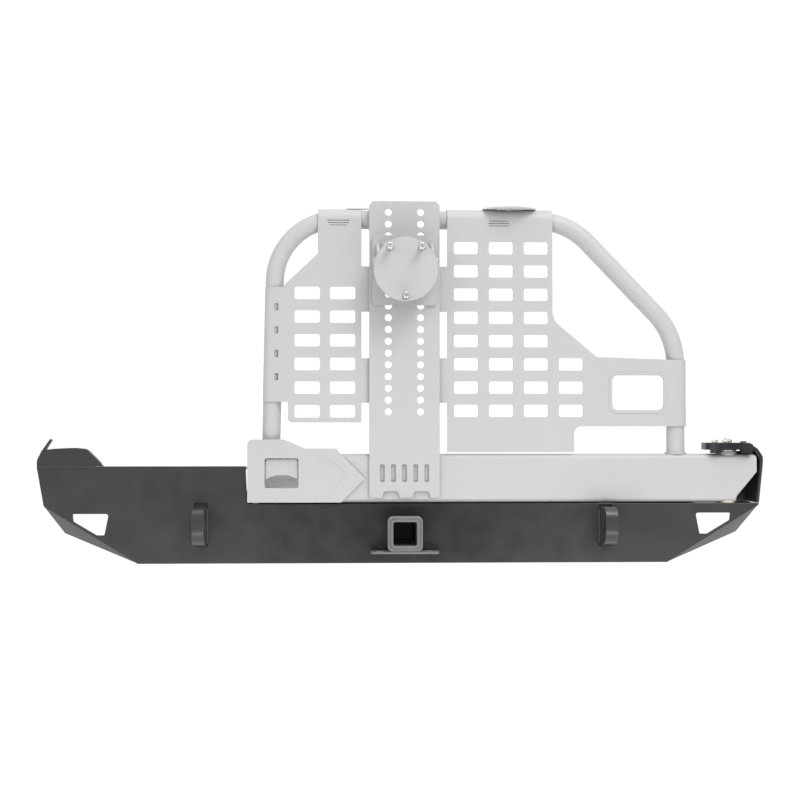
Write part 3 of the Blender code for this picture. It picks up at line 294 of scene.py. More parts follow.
def stand_in(node, mesh):
    """A detailed piece that is shown in place of a CAD node."""
    piece = add_piece("fine_" + node, mesh, NODES[node]["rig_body"], SLOT_OF[node])
    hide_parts(node)
    return piece


def beside(node, label, mesh):
    """A detail on the same body and in the same finish as a CAD node."""
    return add_piece(label, mesh, NODES[node]["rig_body"], SLOT_OF[node])


def recoat(node, finish):
    """Gives the piece that stands in for a CAD node another finish than its slot's."""
    bpy.data.objects["fine_" + node].data.materials[0] = MATERIALS[finish]


def mesh_from(shape, name):
    """A mesh made from a bmesh, which is freed."""
    mesh = bpy.data.meshes.new(name)
    shape.to_mesh(mesh)
    shape.free()
    return mesh


def smooth(mesh, angle=SMOOTH_ANGLE):
    mesh.shade_smooth()
    mesh.set_sharp_from_angle(angle=angle)
    return mesh


def evaluated(thing):
    """The mesh that an object's modifiers or curve settings make. The object is removed."""
    bpy.context.view_layer.update()
    graph = bpy.context.evaluated_depsgraph_get()
    mesh = bpy.data.meshes.new_from_object(thing.evaluated_get(graph))
    mesh.transform(thing.matrix_world)
    data = thing.data
    bpy.data.objects.remove(thing)
    if isinstance(data, bpy.types.Curve):
        bpy.data.curves.remove(data)
    return mesh


def evened(mesh, width=0):
    """Evens out the shading of flat faces, after rounding the sharp edges by a width."""
    helper = link("helper", mesh)
    if width:
        bevel = helper.modifiers.new("edges", "BEVEL")
        bevel.width = width
        bevel.segments = 2
        bevel.limit_method = "ANGLE"
        bevel.angle_limit = BEVEL_ANGLE
        bevel.use_clamp_overlap = True
        bevel.harden_normals = True
        bevel.miter_outer = "MITER_ARC"
    weighted = helper.modifiers.new("normals", "WEIGHTED_NORMAL")
    weighted.keep_sharp = True
    return evaluated(helper)


def clean_copy(node):
    """A CAD node's mesh with its corners welded and its flat faces merged."""
    shape = bmesh.new()
    shape.from_mesh(NODES[node].data)
    bmesh.ops.remove_doubles(shape, verts=shape.verts, dist=2e-6)
    bmesh.ops.dissolve_limit(
        shape,
        angle_limit=math.radians(0.6),
        verts=shape.verts,
        edges=shape.edges,
        delimit={"NORMAL"},
    )
    return smooth(mesh_from(shape, "fine_" + node))


def refine(node, width):
    """Stands in for a CAD node with the same shape, its edges rounded by a width."""
    return stand_in(node, evened(clean_copy(node), width))


def refine_all(widths):
    for node, width in widths.items():
        refine(node, width)


def merged(name, *meshes):
    shape = bmesh.new()
    for mesh in meshes:
        shape.from_mesh(mesh)
    return evened(smooth(mesh_from(shape, name)))


# Outlines, as lists of (u, v) points


def fillet(before, corner, after, radius, steps=ARC_STEPS):
    """The points that round one corner of a path."""
    if radius == 0:
        return [tuple(corner)]
    corner = Vector(corner)
    back = (Vector(before) - corner).normalized()
    ahead = (Vector(after) - corner).normalized()
    half = back.angle(ahead) / 2
    centre = corner + (back + ahead).normalized() * (radius / math.sin(half))
    start = corner + back * (radius / math.tan(half)) - centre
    sweep = math.pi - 2 * half
    if back.x * ahead.y - back.y * ahead.x > 0:
        sweep = -sweep
    turns = (Matrix.Rotation(sweep * i / steps, 2) for i in range(steps + 1))
    return [tuple(centre + turn @ start) for turn in turns]


def rounded_outline(corners, steps=ARC_STEPS):
    """A closed outline from (u, v, radius) corners."""
    points = []
    for i, (u, v, radius) in enumerate(corners):
        before = corners[i - 1][:2]
        after = corners[(i + 1) % len(corners)][:2]
        points += fillet(before, (u, v), after, radius, steps)
    return points


def rectangle(u, v, width, height, radius=0, steps=6):
    left, right = u - width / 2, u + width / 2
    low, high = v - height / 2, v + height / 2
    sides = [(left, low), (right, low), (right, high), (left, high)]
    return rounded_outline([(*corner, radius) for corner in sides], steps)


def circle(u, v, radius, sides=40):
    turns = (2 * math.pi * (i + 0.5) / sides for i in range(sides))
    return [(u + radius * math.cos(turn), v + radius * math.sin(turn)) for turn in turns]


def arc(u, v, radius, start, end, steps):
    """Points round a centre, from one angle to another in degrees."""
    angles = [math.radians(start + (end - start) * i / steps) for i in range(steps + 1)]
    return [(u + radius * math.cos(angle), v + radius * math.sin(angle)) for angle in angles]


def mirrored(points):
    return [(-point[0], *point[1:]) for point in points]


def shifted(path, distance):
    """A path moved sideways, to its right as it runs."""
    moved = []
    for i, (u, v) in enumerate(path):
        before = Vector(path[max(i - 1, 0)])
        after = Vector(path[min(i + 1, len(path) - 1)])
        along = (after - before).normalized() * distance
        moved.append((u + along.y, v - along.x))
    return moved


def band(path, left, right):
    """A closed outline between a path moved to its left and the same path moved to its right."""
    return shifted(path, right) + shifted(path, -left)[::-1]


def signed_area(points):
    pairs = zip(points, points[1:] + points[:1])
    return sum(a[0] * b[1] - b[0] * a[1] for a, b in pairs) / 2


def plate_mesh(name, plane, outline, low, high, holes=(), edge=PLATE_EDGE):
    """A flat plate with rounded rims, between two distances along the plane's normal.

    The outline runs one way and the holes the other, so that the rims lie inside the material.
    """
    curve = bpy.data.curves.new(name, "CURVE")
    curve.dimensions = "2D"
    curve.fill_mode = "BOTH"
    curve.extrude = (high - low) / 2 - edge
    curve.bevel_depth = edge
    curve.bevel_resolution = 2
    curve.offset = -edge
    for i, points in enumerate((outline, *holes)):
        if (signed_area(points) > 0) == (i > 0):
            points = points[::-1]
        spline = curve.splines.new("POLY")
        spline.points.add(len(points) - 1)
        for point, (u, v) in zip(spline.points, points):
            point.co = (u, v, 0, 1)
        spline.use_cyclic_u = True
    source = link(name, curve)
    middle = (low + high) / 2
    place = {"XY": (0, 0, middle), "XZ": (0, middle, 0), "YZ": (middle, 0, 0)}[plane]
    source.matrix_world = Matrix.Translation(place) @ PLANES[plane]
    mesh = evaluated(source)
    shape = bmesh.new()
    shape.from_mesh(mesh)
    bmesh.ops.remove_doubles(shape, verts=shape.verts, dist=1e-6)
    bmesh.ops.recalc_face_normals(shape, faces=shape.faces)
    shape.to_mesh(mesh)
    shape.free()
    return evened(smooth(mesh, PLATE_SMOOTH_ANGLE))


def plate(node, plane, outline, holes=(), edge=PLATE_EDGE):
    """Stands in for a flat CAD node: its outline, between that node's own two faces."""
    low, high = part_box(node)
    axis = {"XY": 2, "XZ": 1, "YZ": 0}[plane]
    return stand_in(node, plate_mesh(node, plane, outline, low[axis], high[axis], holes, edge))


# Turned, swept and threaded shapes


def bridge(shape, rings):
    """Faces between each ring of corners and the next."""
    for one, two in zip(rings, rings[1:]):
        for side in range(len(one)):
            other = (side + 1) % len(one)
            shape.faces.new((one[side], one[other], two[other], two[side]))


def cap(shape, rings):
    """Faces over the first and the last ring."""
    shape.faces.new(rings[0][::-1])
    shape.faces.new(rings[-1])


def sweep(points, radii, closed=False):
    """A round cord through points, with one radius for each."""
    shape = bmesh.new()
    rings = []
    count = len(points)
    up = Vector((0, 0, 1))
    for i, point in enumerate(points):
        before = points[i - 1] if (i or closed) else point
        after = points[(i + 1) % count] if (i + 1 < count or closed) else point
        along = (after - before).normalized()
        across = along.cross(up)
        if across.length < 0.2:
            across = along.cross(Vector((0, 1, 0)))
        across.normalize()
        over = across.cross(along)
        ring = []
        for side in range(CORD_SIDES):
            turn = 2 * math.pi * side / CORD_SIDES
            offset = (across * math.cos(turn) + over * math.sin(turn)) * radii[i]
            ring.append(shape.verts.new(point + offset))
        rings.append(ring)
    bridge(shape, rings + rings[:1] if closed else rings)
    if not closed:
        cap(shape, rings)
    bmesh.ops.recalc_face_normals(shape, faces=shape.faces)
    return smooth(mesh_from(shape, "sweep"), CORD_SMOOTH_ANGLE)


def resampled(points, spacing, closed=False):
    """Points at an even spacing along a line through corners."""
    corners = [Vector(point) for point in points]
    if closed:
        corners.append(corners[0])
    lengths = [(b - a).length for a, b in zip(corners, corners[1:])]
    total = sum(lengths)
    steps = max(2, round(total / spacing))
    result = []
    for i in range(steps if closed else steps + 1):
        rest = total * i / steps
        for start, end, length in zip(corners, corners[1:], lengths):
            if rest <= length or end is corners[-1]:
                result.append(start.lerp(end, min(1.0, rest / max(length, 1e-9))))
                break
            rest -= length
    return result


def weld(label, node, points, radius=0.0022, closed=False):
    """A weld bead along a joint: a half-sunk cord with the ripples of each deposit."""
    spacing, ripple_steps, ripple = 0.0012, 3, 0.13
    line = resampled(points, spacing, closed)
    radii = [
        radius * (1 + ripple * math.cos(2 * math.pi * i / ripple_steps) + 0.05 * math.sin(1.7 * i))
        for i in range(len(line))
    ]
    if not closed:
        radii[0] *= 0.4
        radii[-1] *= 0.4
    return beside(node, label, sweep(line, radii, closed))


def threaded(axis, start, length, radius, pitch=0.0015, sides=28):
    """A threaded rod along an axis, with a chamfered tip at its far end."""
    depth = pitch * 0.5
    rows_per_turn = 6
    rows = max(8, round(length / pitch * rows_per_turn))
    shape = bmesh.new()
    rings = []
    for row in range(rows + 1):
        along = length * row / rows
        fade = min(1.0, (length - along) / (2 * pitch))
        ring = []
        for side in range(sides):
            turn = side / sides
            phase = (along / pitch - turn) % 1.0
            groove = depth * (1 - abs(2 * phase - 1))
            reach = (radius - groove) * (1 - 0.16 * (1 - fade))
            angle = 2 * math.pi * turn
            ring.append(
                shape.verts.new((reach * math.cos(angle), reach * math.sin(angle), along))
            )
        rings.append(ring)
    bridge(shape, rings)
    cap(shape, rings)
    mesh = mesh_from(shape, "thread")
    mesh.transform(Matrix.Translation(start) @ AXES[axis])
    return smooth(mesh)


def turned_mesh(name, profile, x, y, steps=64):
    """A solid of revolution about a vertical axis from a closed (radius, z) profile."""
    shape = bmesh.new()
    corners = [shape.verts.new((radius, 0, z)) for radius, z in profile]
    for i, corner in enumerate(corners):
        shape.edges.new((corners[i - 1], corner))
    bmesh.ops.spin(
        shape,
        geom=shape.verts[:] + shape.edges[:],
        cent=(0, 0, 0),
        axis=(0, 0, 1),
        angle=2 * math.pi,
        steps=steps,
        use_merge=True,
    )
    bmesh.ops.remove_doubles(shape, verts=shape.verts, dist=1e-6)
    bmesh.ops.recalc_face_normals(shape, faces=shape.faces)
    mesh = mesh_from(shape, name)
    mesh.transform(Matrix.Translation((x, y, 0)))
    return smooth(mesh)


def hex_head(axis, seat, height, across, bore=0.0):
    """A hexagon head or nut with its corners turned off, rising from the seat along an axis."""
    corner = across / math.sqrt(3)
    chamfer = corner - across / 2 * 0.98
    shape = bmesh.new()
    levels = (
        (0.0, corner - chamfer),
        (chamfer * 0.5, corner),
        (height - chamfer * 0.5, corner),
        (height, corner - chamfer),
    )
    sides = 48
    rings = []
    for level, reach in levels:
        ring = []
        for side in range(sides):
            angle = 2 * math.pi * side / sides
            within = (angle + math.pi / 6) % (math.pi / 3) - math.pi / 6
            flat_reach = across / 2 / math.cos(within)
            out = min(flat_reach, reach)
            ring.append(shape.verts.new((out * math.cos(angle), out * math.sin(angle), level)))
        rings.append(ring)
    if bore:
        for level in (height, 0.0):
            rings.append(
                [
                    shape.verts.new((bore * math.cos(turn), bore * math.sin(turn), level))
                    for turn in (2 * math.pi * side / sides for side in range(sides))
                ]
            )
        rings.append(rings[0])
    bridge(shape, rings)
    if not bore:
        cap(shape, rings)
    bmesh.ops.recalc_face_normals(shape, faces=shape.faces)
    mesh = mesh_from(shape, "hex")
    mesh.transform(Matrix.Translation(seat) @ AXES[axis])
    return smooth(mesh, HEX_SMOOTH_ANGLE)


# Camera, light and floor


def make_camera():
    data = bpy.data.cameras.new("camera")
    data.sensor_width = SENSOR
    data.lens = LENS
    camera = link("camera", data)
    camera.location = EYE
    ahead = Vector(
        (math.sin(YAW) * math.cos(PITCH), math.cos(YAW) * math.cos(PITCH), math.sin(PITCH))
    )
    camera.rotation_mode = "QUATERNION"
    camera.rotation_quaternion = ahead.to_track_quat("-Z", "Y")
    bpy.context.scene.camera = camera


def make_light():
    """A white studio that is darker behind the viewer, so that black surfaces stay dark."""
    world = bpy.data.worlds.new("studio")
    bpy.context.scene.world = world
    world.use_nodes = True
    tree = world.node_tree
    background = tree.nodes["Background"]
    direction = tree.nodes.new("ShaderNodeTexCoord").outputs["Generated"]
    gap = tree.nodes.new("ShaderNodeVectorMath")
    gap.operation = "DISTANCE"
    tree.links.new(direction, gap.inputs[0])
    gap.inputs[1].default_value = (0.044, -1.0, -0.07)
    ramp = tree.nodes.new("ShaderNodeValToRGB")
    ramp.color_ramp.interpolation = "EASE"
    for stop, position, level in zip(ramp.color_ramp.elements, (0.06, 0.42), (0.20, 1.0)):
        stop.position = position
        stop.color = (level, level, level, 1)
    tree.links.new(gap.outputs["Value"], ramp.inputs["Fac"])
    tree.links.new(ramp.outputs["Color"], background.inputs["Color"])
    background.inputs["Strength"].default_value = 1.05


def make_soft_box(name, place, aim, size, power):
    data = bpy.data.lights.new(name, "AREA")
    data.shape = "RECTANGLE"
    data.size, data.size_y = size
    data.energy = power
    lamp = link(name, data)
    lamp.location = place
    lamp.rotation_mode = "QUATERNION"
    lamp.rotation_quaternion = (Vector(aim) - Vector(place)).to_track_quat("-Z", "Y")


def make_floor():
    """A plain pale floor, as far below the bumper as the ground is."""
    floor_z, half_width, near, far = -0.48, 30, -1.6, 60
    mesh = bpy.data.meshes.new("floor")
    corners = [(-half_width, near), (half_width, near), (half_width, far), (-half_width, far)]
    mesh.from_pydata([(x, y, floor_z) for x, y in corners], [], [(0, 1, 2, 3)])
    floor = link("floor", mesh)
    made = Nodes("floor")
    patches = made.remap(made.noise(0.8, 2), 0.0, 1.0)
    made.set(
        made.shader.inputs["Base Color"],
        made.mix(patches, (0.95, 0.95, 0.95, 1), (0.97, 0.97, 0.97, 1)),
    )
    made.shader.inputs["Roughness"].default_value = 0.9
    mesh.materials.append(made.material)


def make_studio():
    make_camera()
    make_light()
    make_soft_box("key_box", (1.5, -2.6, 3.4), (0.1, -0.15, 0.3), (1.8, 1.8), 110)
    make_soft_box("left_box", (-2.8, -2.6, 1.6), (-0.3, -0.15, 0.2), (1.4, 1.6), 26)
    make_soft_box("top_box", (0, -0.5, 3.2), (0, 0, 0.2), (3.0, 1.6), 30)
    make_soft_box("low_box", (0.1, -1.1, -0.44), (0.1, -0.15, 0.7), (2.0, 0.5), 12)
    make_floor()
    scene = bpy.context.scene
    scene.view_settings.view_transform = "Standard"
    scene.view_settings.look = "None"


# The carrier's sheet and plate


def bent_tube(node, corners, bend, radius):
    """Stands in for a tube through (x, z) corners, each bent to the same radius."""
    path = [corners[0]]
    for before, corner, after in zip(corners, corners[1:], corners[2:]):
        path += fillet(before, corner, after, bend, 28)
    path.append(corners[-1])
    curve = bpy.data.curves.new(node, "CURVE")
    curve.dimensions = "3D"
    curve.bevel_depth = radius
    curve.bevel_resolution = 14
    curve.use_fill_caps = True
    spline = curve.splines.new("POLY")
    spline.points.add(len(path) - 1)
    for point, (x, z) in zip(spline.points, path):
        point.co = (x, TUBE_Y, z, 1)
    stand_in(node, smooth(evaluated(link(node, curve))))


def make_tube_frame():
    low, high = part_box("tube_right")
    radius = high.x - RIGHT_LEG_X
    foot = low.z + 0.0005
    left = [(LEFT_LEG_FOOT_X, foot), (LEFT_LEG_TOP_X, TUBE_TOP), (-low.x, TUBE_TOP)]
    right = [
        (low.x, TUBE_TOP),
        (DIAGONAL_TOP_X, TUBE_TOP),
        (RIGHT_LEG_X, DIAGONAL_FOOT_Z),
        (RIGHT_LEG_X, foot),
    ]
    bent_tube("tube_left", left, LEFT_BEND, radius)
    bent_tube("tube_right", right, RIGHT_BEND, radius)
    foot_ring = circle(0, 0, radius + WELD_SEAT, 48)
    end_ring = circle(0, 0, radius + 0.0004, 48)
    for node, leg_x, side in (
        ("tube_left", LEFT_LEG_FOOT_X, -1),
        ("tube_right", RIGHT_LEG_X, 1),
    ):
        ring = [(leg_x + u, TUBE_Y + v, foot + 0.0004) for u, v in foot_ring]
        weld("foot_weld_" + node, node, ring, 0.0028, closed=True)
        end_x = side * (low.x + WELD_SEAT)
        ring = [(end_x, TUBE_Y + u, TUBE_TOP + v) for u, v in end_ring]
        weld("end_weld_" + node, node, ring, 0.0020, closed=True)


def left_leg_x(z):
    """The leaning left leg's axis at a height."""
    share = (z - LEG_FOOT) / (TUBE_TOP - LEG_FOOT)
    return LEFT_LEG_FOOT_X + share * (LEFT_LEG_TOP_X - LEFT_LEG_FOOT_X)


def panel_face(node):
    """The front and back planes of a panel's flat sheet."""
    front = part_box(node)[0].y
    return front, front + SHEET


def tie_tabs(side):
    """The outline of the two tabs that tie a panel's inner edge to the upright."""
    points = []
    for low, high in ((0.346, 0.442), (0.543, 0.641)):
        for x, z in ((EDGE_X, low), (TIE_X, low), (TIE_X, high), (EDGE_X, high)):
            points.append((side * x, z))
    return points


def wrap_mesh(plane, path, low, high):
    """Sheet bent round a tube: a band along a curved path."""
    return plate_mesh("wrap", plane, band(path, 0, SHEET), low, high, edge=0.0005)


def top_wrap(left, right):
    """The part of a panel that is bent over the top tube, between two X positions."""
    return wrap_mesh("YZ", arc(TUBE_Y, TUBE_TOP, WRAP_OUTER, 181, 60, 22), left, right)


def generic_marks(x, widths):
    """Plain horizontal grooves, cut through the sheet as narrow slots."""
    pitch, height = 0.0052, 0.0013
    return [
        rectangle(x, MARKS_Z - pitch * i, width, height, 0.0006, 3)
        for i, width in enumerate(widths)
    ]


def make_right_panel():
    wrap_low, wrap_high = 0.295, 0.4395
    right = 0.3225
    corners = [
        (EDGE_X, 0.2392, 0),
        (0.3695, 0.2392, 0.002),
        (0.3695, wrap_low, 0.015),
        (RIGHT_LEG_X, wrap_low, 0),
        (RIGHT_LEG_X, wrap_high, 0),
        (0.419, 0.446, 0.006),
        (0.329, 0.522, 0.014),
        (right, 0.540, 0.006),
        (right, TUBE_TOP, 0),
        (EDGE_X, TUBE_TOP, 0),
    ]
    outline = rounded_outline(corners, 6) + tie_tabs(1)[::-1]
    rows = [0.3285 + 0.0505 * row for row in range(8)]
    places = [(FIRST_COLUMN_X + COLUMN_PITCH * column, z) for column in range(3) for z in rows]
    places += [(FIRST_COLUMN_X + COLUMN_PITCH * 3, z) for z in rows[:3]]
    slots = [rectangle(x, z, 0.0523, 0.027, 0.005) for x, z in places]
    window_x, window_z, window_width, window_height = 0.509, 0.368, 0.112, 0.076
    window = rectangle(window_x, window_z, window_width, window_height, 0.013, 10)
    front, back = panel_face("panel_right")
    marks = generic_marks(0.205, (0.040, 0.046, 0.042))
    face = plate_mesh("face", "XZ", outline, front, back, [*slots, window, *marks])
    top = top_wrap(EDGE_X, right)
    leg_path = arc(RIGHT_LEG_X, TUBE_Y, WRAP_OUTER, 5, -91, 20)
    side = wrap_mesh("XY", leg_path, wrap_low, wrap_high)
    stand_in("panel_right", merged("panel", face, top, side))
    rims = [
        rectangle(window_x, window_z, window_width + grow, window_height + grow, radius, 10)
        for grow, radius in ((0.014, 0.018), (0.002, 0.013))
    ]
    lip = plate_mesh("lip", "XZ", rims[0], front - 0.0010, front + 0.0006, rims[1:], 0.0004)
    beside("panel_right", "window_lip", lip)


def make_left_panel():
    wrap_low, wrap_high = 0.348, 0.596
    left, foot_left, foot = -0.187, -0.251, 0.3035
    upper, lower = left_leg_x(wrap_high), left_leg_x(wrap_low)
    corners = [
        (-EDGE_X, TUBE_TOP, 0),
        (left, TUBE_TOP, 0),
        (left, 0.669, 0.003),
        (-0.257, 0.603, 0.004),
        (-0.262, wrap_high, 0.004),
        (upper, wrap_high, 0),
        (lower, wrap_low, 0),
        (foot_left, wrap_low, 0.004),
        (foot_left, foot, 0.009),
        (-EDGE_X, foot, 0.002),
    ]
    outline = rounded_outline(corners, 6) + tie_tabs(-1)
    rows = [0.3273 + 0.0512 * row for row in range(6)]
    places = [(-FIRST_COLUMN_X - COLUMN_PITCH * column, z) for column in range(2) for z in rows]
    slots = [rectangle(x, z, 0.055, 0.0272, 0.005) for x, z in places]
    slots += [rectangle(-0.2765, z, 0.008, 0.016, 0.003) for z in (0.402, 0.452, 0.503, 0.553)]
    front, back = panel_face("panel_left")
    marks = generic_marks(-0.143, (0.048, 0.046, 0.038))
    face = plate_mesh("face", "XZ", outline, front, back, [*slots, *marks])
    top = top_wrap(left, -EDGE_X)
    side = wrap_mesh("XY", arc(0, TUBE_Y, WRAP_OUTER, -89, -150, 14), wrap_low, wrap_high)
    lean = (upper - lower) / (wrap_high - wrap_low)
    for vertex in side.vertices:
        vertex.co.x += lower + lean * (vertex.co.z - wrap_low)
    stand_in("panel_left", merged("panel", face, top, side))


def make_top_plates():
    disc = circle(ANTENNA_X, TUBE_Y, 0.059, 96)
    plate("antenna_plate", "XY", disc, [circle(ANTENNA_X, TUBE_Y, 0.005)], 0.0010)
    plate("light_tab", "XY", rectangle(-0.101, TUBE_Y, 0.048, 0.014, 0.003))
    # Painted light: the two top plates take the paler coat, so their undersides don't read in
    # shade
    for node in ("antenna_plate", "light_tab"):
        recoat(node, "painted_lit_coat")
    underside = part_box("antenna_plate")[0].z
    for i, side in enumerate((-1, 1)):
        y = TUBE_Y + side * 0.0225
        line = [(ANTENNA_X + reach, y, underside - 0.001) for reach in (-0.030, 0.030)]
        weld(f"antenna_weld_{i + 1}", "antenna_plate", line, 0.0018)


def make_upright():
    half, notch_top = 0.0762, 0.155
    low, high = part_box("upright_plate")
    corners = [
        (-half, low.z, 0.007),
        (-0.049, low.z, 0),
        (-0.044, notch_top, 0.006),
        (-0.015, notch_top, 0.006),
        (-0.010, low.z, 0),
        (0.017, low.z, 0),
        (0.022, notch_top, 0.006),
        (0.052, notch_top, 0.006),
        (0.057, low.z, 0),
        (half, low.z, 0.007),
        (half, high.z - 0.009, 0.003),
        (half - 0.008, high.z, 0.003),
        (0.008 - half, high.z, 0.003),
        (-half, high.z - 0.009, 0.003),
    ]
    hole_pitch = 0.0254
    rows = [0.758 - hole_pitch * row for row in range(18)]
    holes = [circle(side * 0.0349, z, 0.0079, 36) for side in (-1, 1) for z in rows]
    holes += [rectangle(0.024 * i, 0.194, 0.010, 0.038, 0.004) for i in range(-2, 3)]
    plate("upright_plate", "XZ", rounded_outline(corners, 6), holes, 0.0009)
    for label in ("left", "right"):
        refine("upright_stiffener_" + label, 0.0009)
        box_low, box_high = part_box("upright_stiffener_" + label)
        x = box_low.x if label == "left" else box_high.x
        y = box_low.y + WELD_SEAT
        for i in range(8):
            z = box_low.z + 0.020 + i * 0.062
            line = [(x, y, z), (x, y, z + 0.026)]
            weld(f"stiffener_weld_{label}_{i + 1}", "upright_plate", line, 0.0020)


def make_wheel_mount():
    refine_all({"wheel_base": 0.0009, "wheel_carriage": 0.0009, "backing_plate": 0.0008})
    low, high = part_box("wheel_disc")
    centre_z = (low.z + high.z) / 2
    radius = (high.x - low.x) / 2
    angles = [math.radians(degrees) for degrees in (126, 270, 54)]
    reach = 0.05715
    places = [(reach * math.cos(turn), centre_z + reach * math.sin(turn)) for turn in angles]
    holes = [circle(x, z, 0.00675, 32) for x, z in places]
    plate("wheel_disc", "XZ", circle(0, centre_z, radius, 128), holes, 0.0014)
    for i in range(3):
        node = f"wheel_stud_{i + 1}"
        stud_low, stud_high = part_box(node)
        x = (stud_low.x + stud_high.x) / 2
        z = (stud_low.z + stud_high.z) / 2
        start = (x, high.y - 0.001, z)
        shank = threaded("-Y", start, start[1] - stud_low.y, 0.00635)
        head = hex_head("-Y", (x, stud_high.y, z), stud_high.y - high.y - 0.0002, 0.0164)
        stand_in(node, merged(node, shank, head))
    for label, side in (("left", -1), ("right", 1)):
        for end in (0, 1):
            z = 0.600 + 0.060 * end
            line = [(side * (0.0545 - 0.012 * t), high.y + 0.0008, z) for t in (0, 1)]
            weld(f"disc_weld_{label}_{end + 1}", "wheel_carriage", line, 0.0016)


def make_bolts():
    for i in range(4):
        node = f"base_bolt_{i + 1}"
        low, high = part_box(node)
        x, z = (low.x + high.x) / 2, (low.z + high.z) / 2
        rise = 0.0065
        head = hex_head("-Y", (x, low.y + rise, z), rise, 0.019)
        shank = threaded("-Y", (x, high.y, z), high.y - low.y - 0.006, 0.0058)
        stand_in(node, merged(node, head, shank))
    for label in ("left", "right"):
        refine("clamp_bolt_" + label, 0.0007)
        refine("clamp_nut_" + label, 0.0007)


# The arm and its latch


def make_arm():
    refine_all({"swing_arm": 0.0008, "pivot_barrel": 0.0006})
    low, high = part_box("pivot_barrel")
    arm_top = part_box("swing_arm")[1].z
    x = (low.x + high.x) / 2
    radius = (high.x - low.x) / 2
    outline = circle(x, TUBE_Y, radius + WELD_SEAT, 48)
    ring = [(u, v, arm_top + 0.0004) for u, v in outline]
    weld("barrel_weld", "swing_arm", ring, 0.0014, closed=True)


def make_latch():
    refine_all(
        {
            "latch_bracket": 0.0008,
            "latch_housing": 0.0006,
            "latch_paddle": 0.0007,
            "handle_pin": 0.0005,
            "latch_bolt": 0.0010,
            "latch_keeper": 0.0008,
            "rest_pad": 0.0020,
        }
    )
    # Painted light: the latch housing takes the near-white coat, so the pocket doesn't read in
    # shade
    recoat("latch_housing", "painted_lit_pocket_coat")
    stand_in("latch_spring", spring_mesh())
    arrow = [
        (-0.188, 0.2243, 0),
        (-0.163, 0.2243, 0.012),
        (-0.1235, 0.1925, 0.008),
        (-0.150, 0.1617, 0.010),
        (-0.186, 0.1617, 0),
    ]
    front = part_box("latch_bracket")[0].y
    line = band(rounded_outline(arrow, 8)[:-1], 0.0009, 0.0009)
    mesh = plate_mesh("arrow", "XZ", line, front - 0.0006, front + 0.0006, edge=0.0005)
    beside("latch_bracket", "bracket_arrow", mesh)
    wire = resampled([(-0.2929, -0.1600, 0.1790), (-0.2868, -0.1600, 0.1617)], 0.004)
    beside("latch_spring", "spring_leg", sweep(wire, [SPRING_WIRE] * len(wire)))


def spring_mesh():
    low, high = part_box("latch_spring")
    turns = 5
    middle_y = (low.y + high.y) / 2
    middle_z = (low.z + high.z) / 2
    radius = (high.z - low.z) / 2 - SPRING_WIRE
    length = high.x - low.x - 2 * SPRING_WIRE
    steps = turns * 28
    points = []
    for i in range(steps + 1):
        turn = 2 * math.pi * turns * i / steps
        x = low.x + SPRING_WIRE + length * i / steps
        points.append(
            Vector((x, middle_y + radius * math.cos(turn), middle_z + radius * math.sin(turn)))
        )
    return sweep(points, [SPRING_WIRE] * len(points))


# The bumper


def make_bumper_face():
    outline = [
        (-0.572, 0, 0.002),
        (0.572, 0, 0.002),
        (0.772, 0.123, 0.003),
        (0.774, 0.128, 0.001),
        (-0.338, 0.128, 0.001),
        (-0.342, 0.209, 0.001),
        (-0.787, 0.209, 0.001),
        (-0.787, 0.205, 0.002),
        (-0.772, 0.123, 0.006),
    ]
    light = [
        (0.634, 0.107, 0.005),
        (0.643, 0.0615, 0.003),
        (0.659, 0.0615, 0.005),
        (0.7085, 0.091, 0.003),
        (0.7105, 0.107, 0.003),
    ]
    holes = [rounded_outline(corners, 6) for corners in (light, mirrored(light))]
    holes.append(rectangle(-SHACKLE_X, 0.0835, 0.0277, 0.094))
    holes.append(rectangle(SHACKLE_X, 0.0810, 0.0277, 0.089))
    holes.append(rectangle(0, RECEIVER_Z, 0.0645, 0.0645, 0.008, 6))
    sheet = rounded_outline(outline, 4)
    face = plate_mesh("face", "XZ", sheet, FACE_FRONT, FACE_BACK, holes, 0.0010)
    lip = plate_mesh("lip", "XY", rectangle(0, -0.144, 1.110, 0.048), 0, 0.0048, edge=0.0010)
    stand_in("bumper_face", merged("face", face, lip))
    # Painted shade: a dark sheet just behind each tab slot, so the gap above each tab reads as
    # shade instead of showing through
    for label, x in (("left", -SHACKLE_X), ("right", SHACKLE_X)):
        outline = rectangle(x, 0.083, 0.034, 0.100)
        shade_sheet = plate_mesh("shade_sheet", "XZ", outline, -0.1640, -0.1620)
        beside("bumper_face", "slot_shade_sheet_" + label, shade_sheet)
    seam = [(x, FACE_FRONT, 0.2080) for x in (-0.786, -0.662)]
    weld("cap_seam", "bumper_face", seam, 0.0017)


def make_bumper():
    make_bumper_face()
    refine_all(
        {
            "wing_left": 0.0010,
            "wing_right": 0.0010,
            "corner_cap": 0.0010,
            "raised_deck": 0.0010,
            "bumper_shelf": 0.0008,
            "crossmember_plate": 0.0010,
            "frame_bracket_left": 0.0010,
            "frame_bracket_right": 0.0010,
            "chain_plate": 0.0014,
            "hinge_base": 0.0008,
            "hinge_strap": 0.0012,
            "hinge_top_plate": 0.0014,
        }
    )
    make_receiver()
    # Painted highlight: the receiver and the chain plate take the lighter copy of the black coat
    for node in ("receiver_collar", "receiver_tube", "chain_plate"):
        recoat(node, "painted_highlight_coat")
    make_shackle_tabs()
    make_hinge()


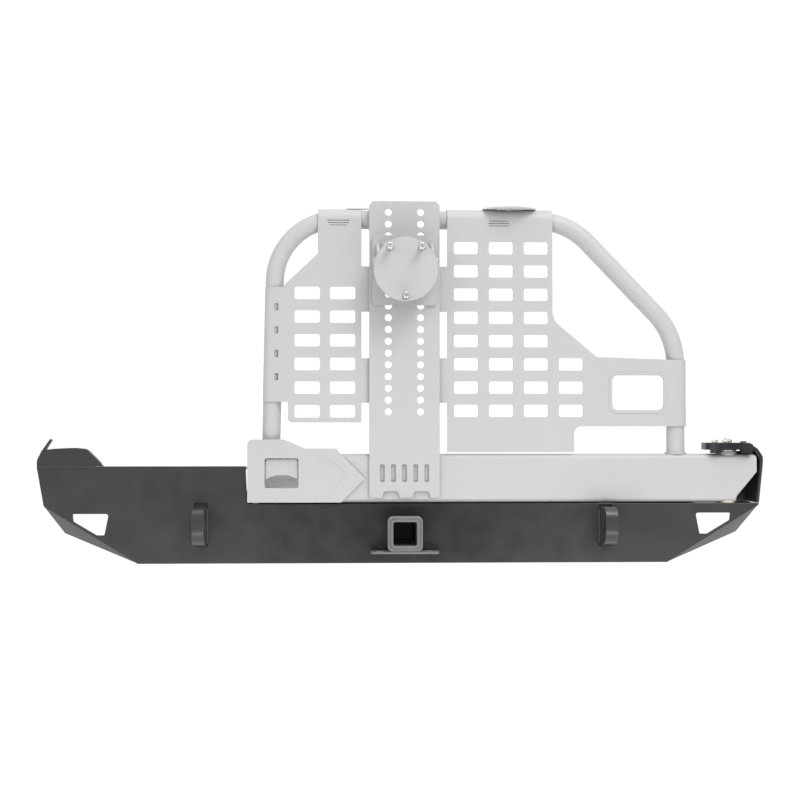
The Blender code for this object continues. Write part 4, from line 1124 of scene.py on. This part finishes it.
def make_receiver():
    refine("receiver_tube", 0.0014)
    low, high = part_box("receiver_collar")
    size = high.x - low.x
    middle = (low.z + high.z) / 2
    ring = rectangle(0, middle, size, size, 0.011, 10)
    bore = rectangle(0, middle, 0.0641, 0.0641, 0.008, 8)
    plate("receiver_collar", "XZ", ring, [bore], 0.0022)
    outline = rectangle(0, middle, 0.0652, 0.0652, 0.009, 8)
    points = [(x, FACE_FRONT - 0.0002, z) for x, z in outline]
    weld("receiver_weld", "receiver_tube", points, 0.0026, closed=True)


def make_shackle_tabs():
    for label in ("left", "right"):
        node = "shackle_tab_" + label
        refine(node, 0.0022)
        low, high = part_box(node)
        for side, x in (("inner", low.x), ("outer", high.x)):
            line = [(x, FACE_FRONT - 0.0004, z) for z in (0.042, 0.118)]
            weld(f"tab_weld_{label}_{side}", node, line, 0.0030)


def make_hinge():
    low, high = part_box("spindle")
    x, y = (low.x + high.x) / 2, (low.y + high.y) / 2
    neck = 0.0059
    profile = [
        (0, HINGE_TOP),
        (neck, HINGE_TOP),
        (neck, 0.2437),
        (0.0155, 0.2434),
        (0.0160, 0.2429),
        (0.0160, low.z + 0.001),
        (0.0150, low.z),
        (0, low.z),
    ]
    body = turned_mesh("spindle", profile, x, y)
    thread_foot = HINGE_TOP - 0.0005
    thread = threaded("Z", (x, y, thread_foot), high.z - thread_foot, neck)
    stand_in("spindle", merged("spindle", body, thread))
    nut_low, nut_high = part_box("spindle_nut")
    nut = hex_head("Z", (x, y, nut_low.z), nut_high.z - nut_low.z, 0.0180, 0.0062)
    stand_in("spindle_nut", nut)
    for i in range(3):
        node = f"hinge_bolt_{i + 1}"
        bolt_low, bolt_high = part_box(node)
        centre = ((bolt_low.x + bolt_high.x) / 2, (bolt_low.y + bolt_high.y) / 2)
        rise = bolt_high.z - HINGE_TOP - 0.0003
        head = hex_head("Z", (*centre, bolt_high.z - rise), rise, 0.013)
        shank = threaded("Z", (*centre, bolt_low.z), HINGE_TOP - bolt_low.z, 0.0039)
        stand_in(node, merged(node, head, shank))
    refine_all(
        {
            "thrust_washer": 0.0003,
            "upper_bush": 0.0003,
            "lower_bush": 0.0003,
            "grease_fitting": 0.0002,
        }
    )
    base_low, base_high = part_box("hinge_base")
    line = [(end, base_high.y - 0.0005, base_low.z) for end in (0.644, 0.742)]
    weld("hinge_base_weld", "hinge_base", line, 0.0022)


def main():
    make_studio()
    make_tube_frame()
    make_right_panel()
    make_left_panel()
    make_top_plates()
    make_upright()
    make_wheel_mount()
    make_bolts()
    make_arm()
    make_latch()
    make_bumper()


main()
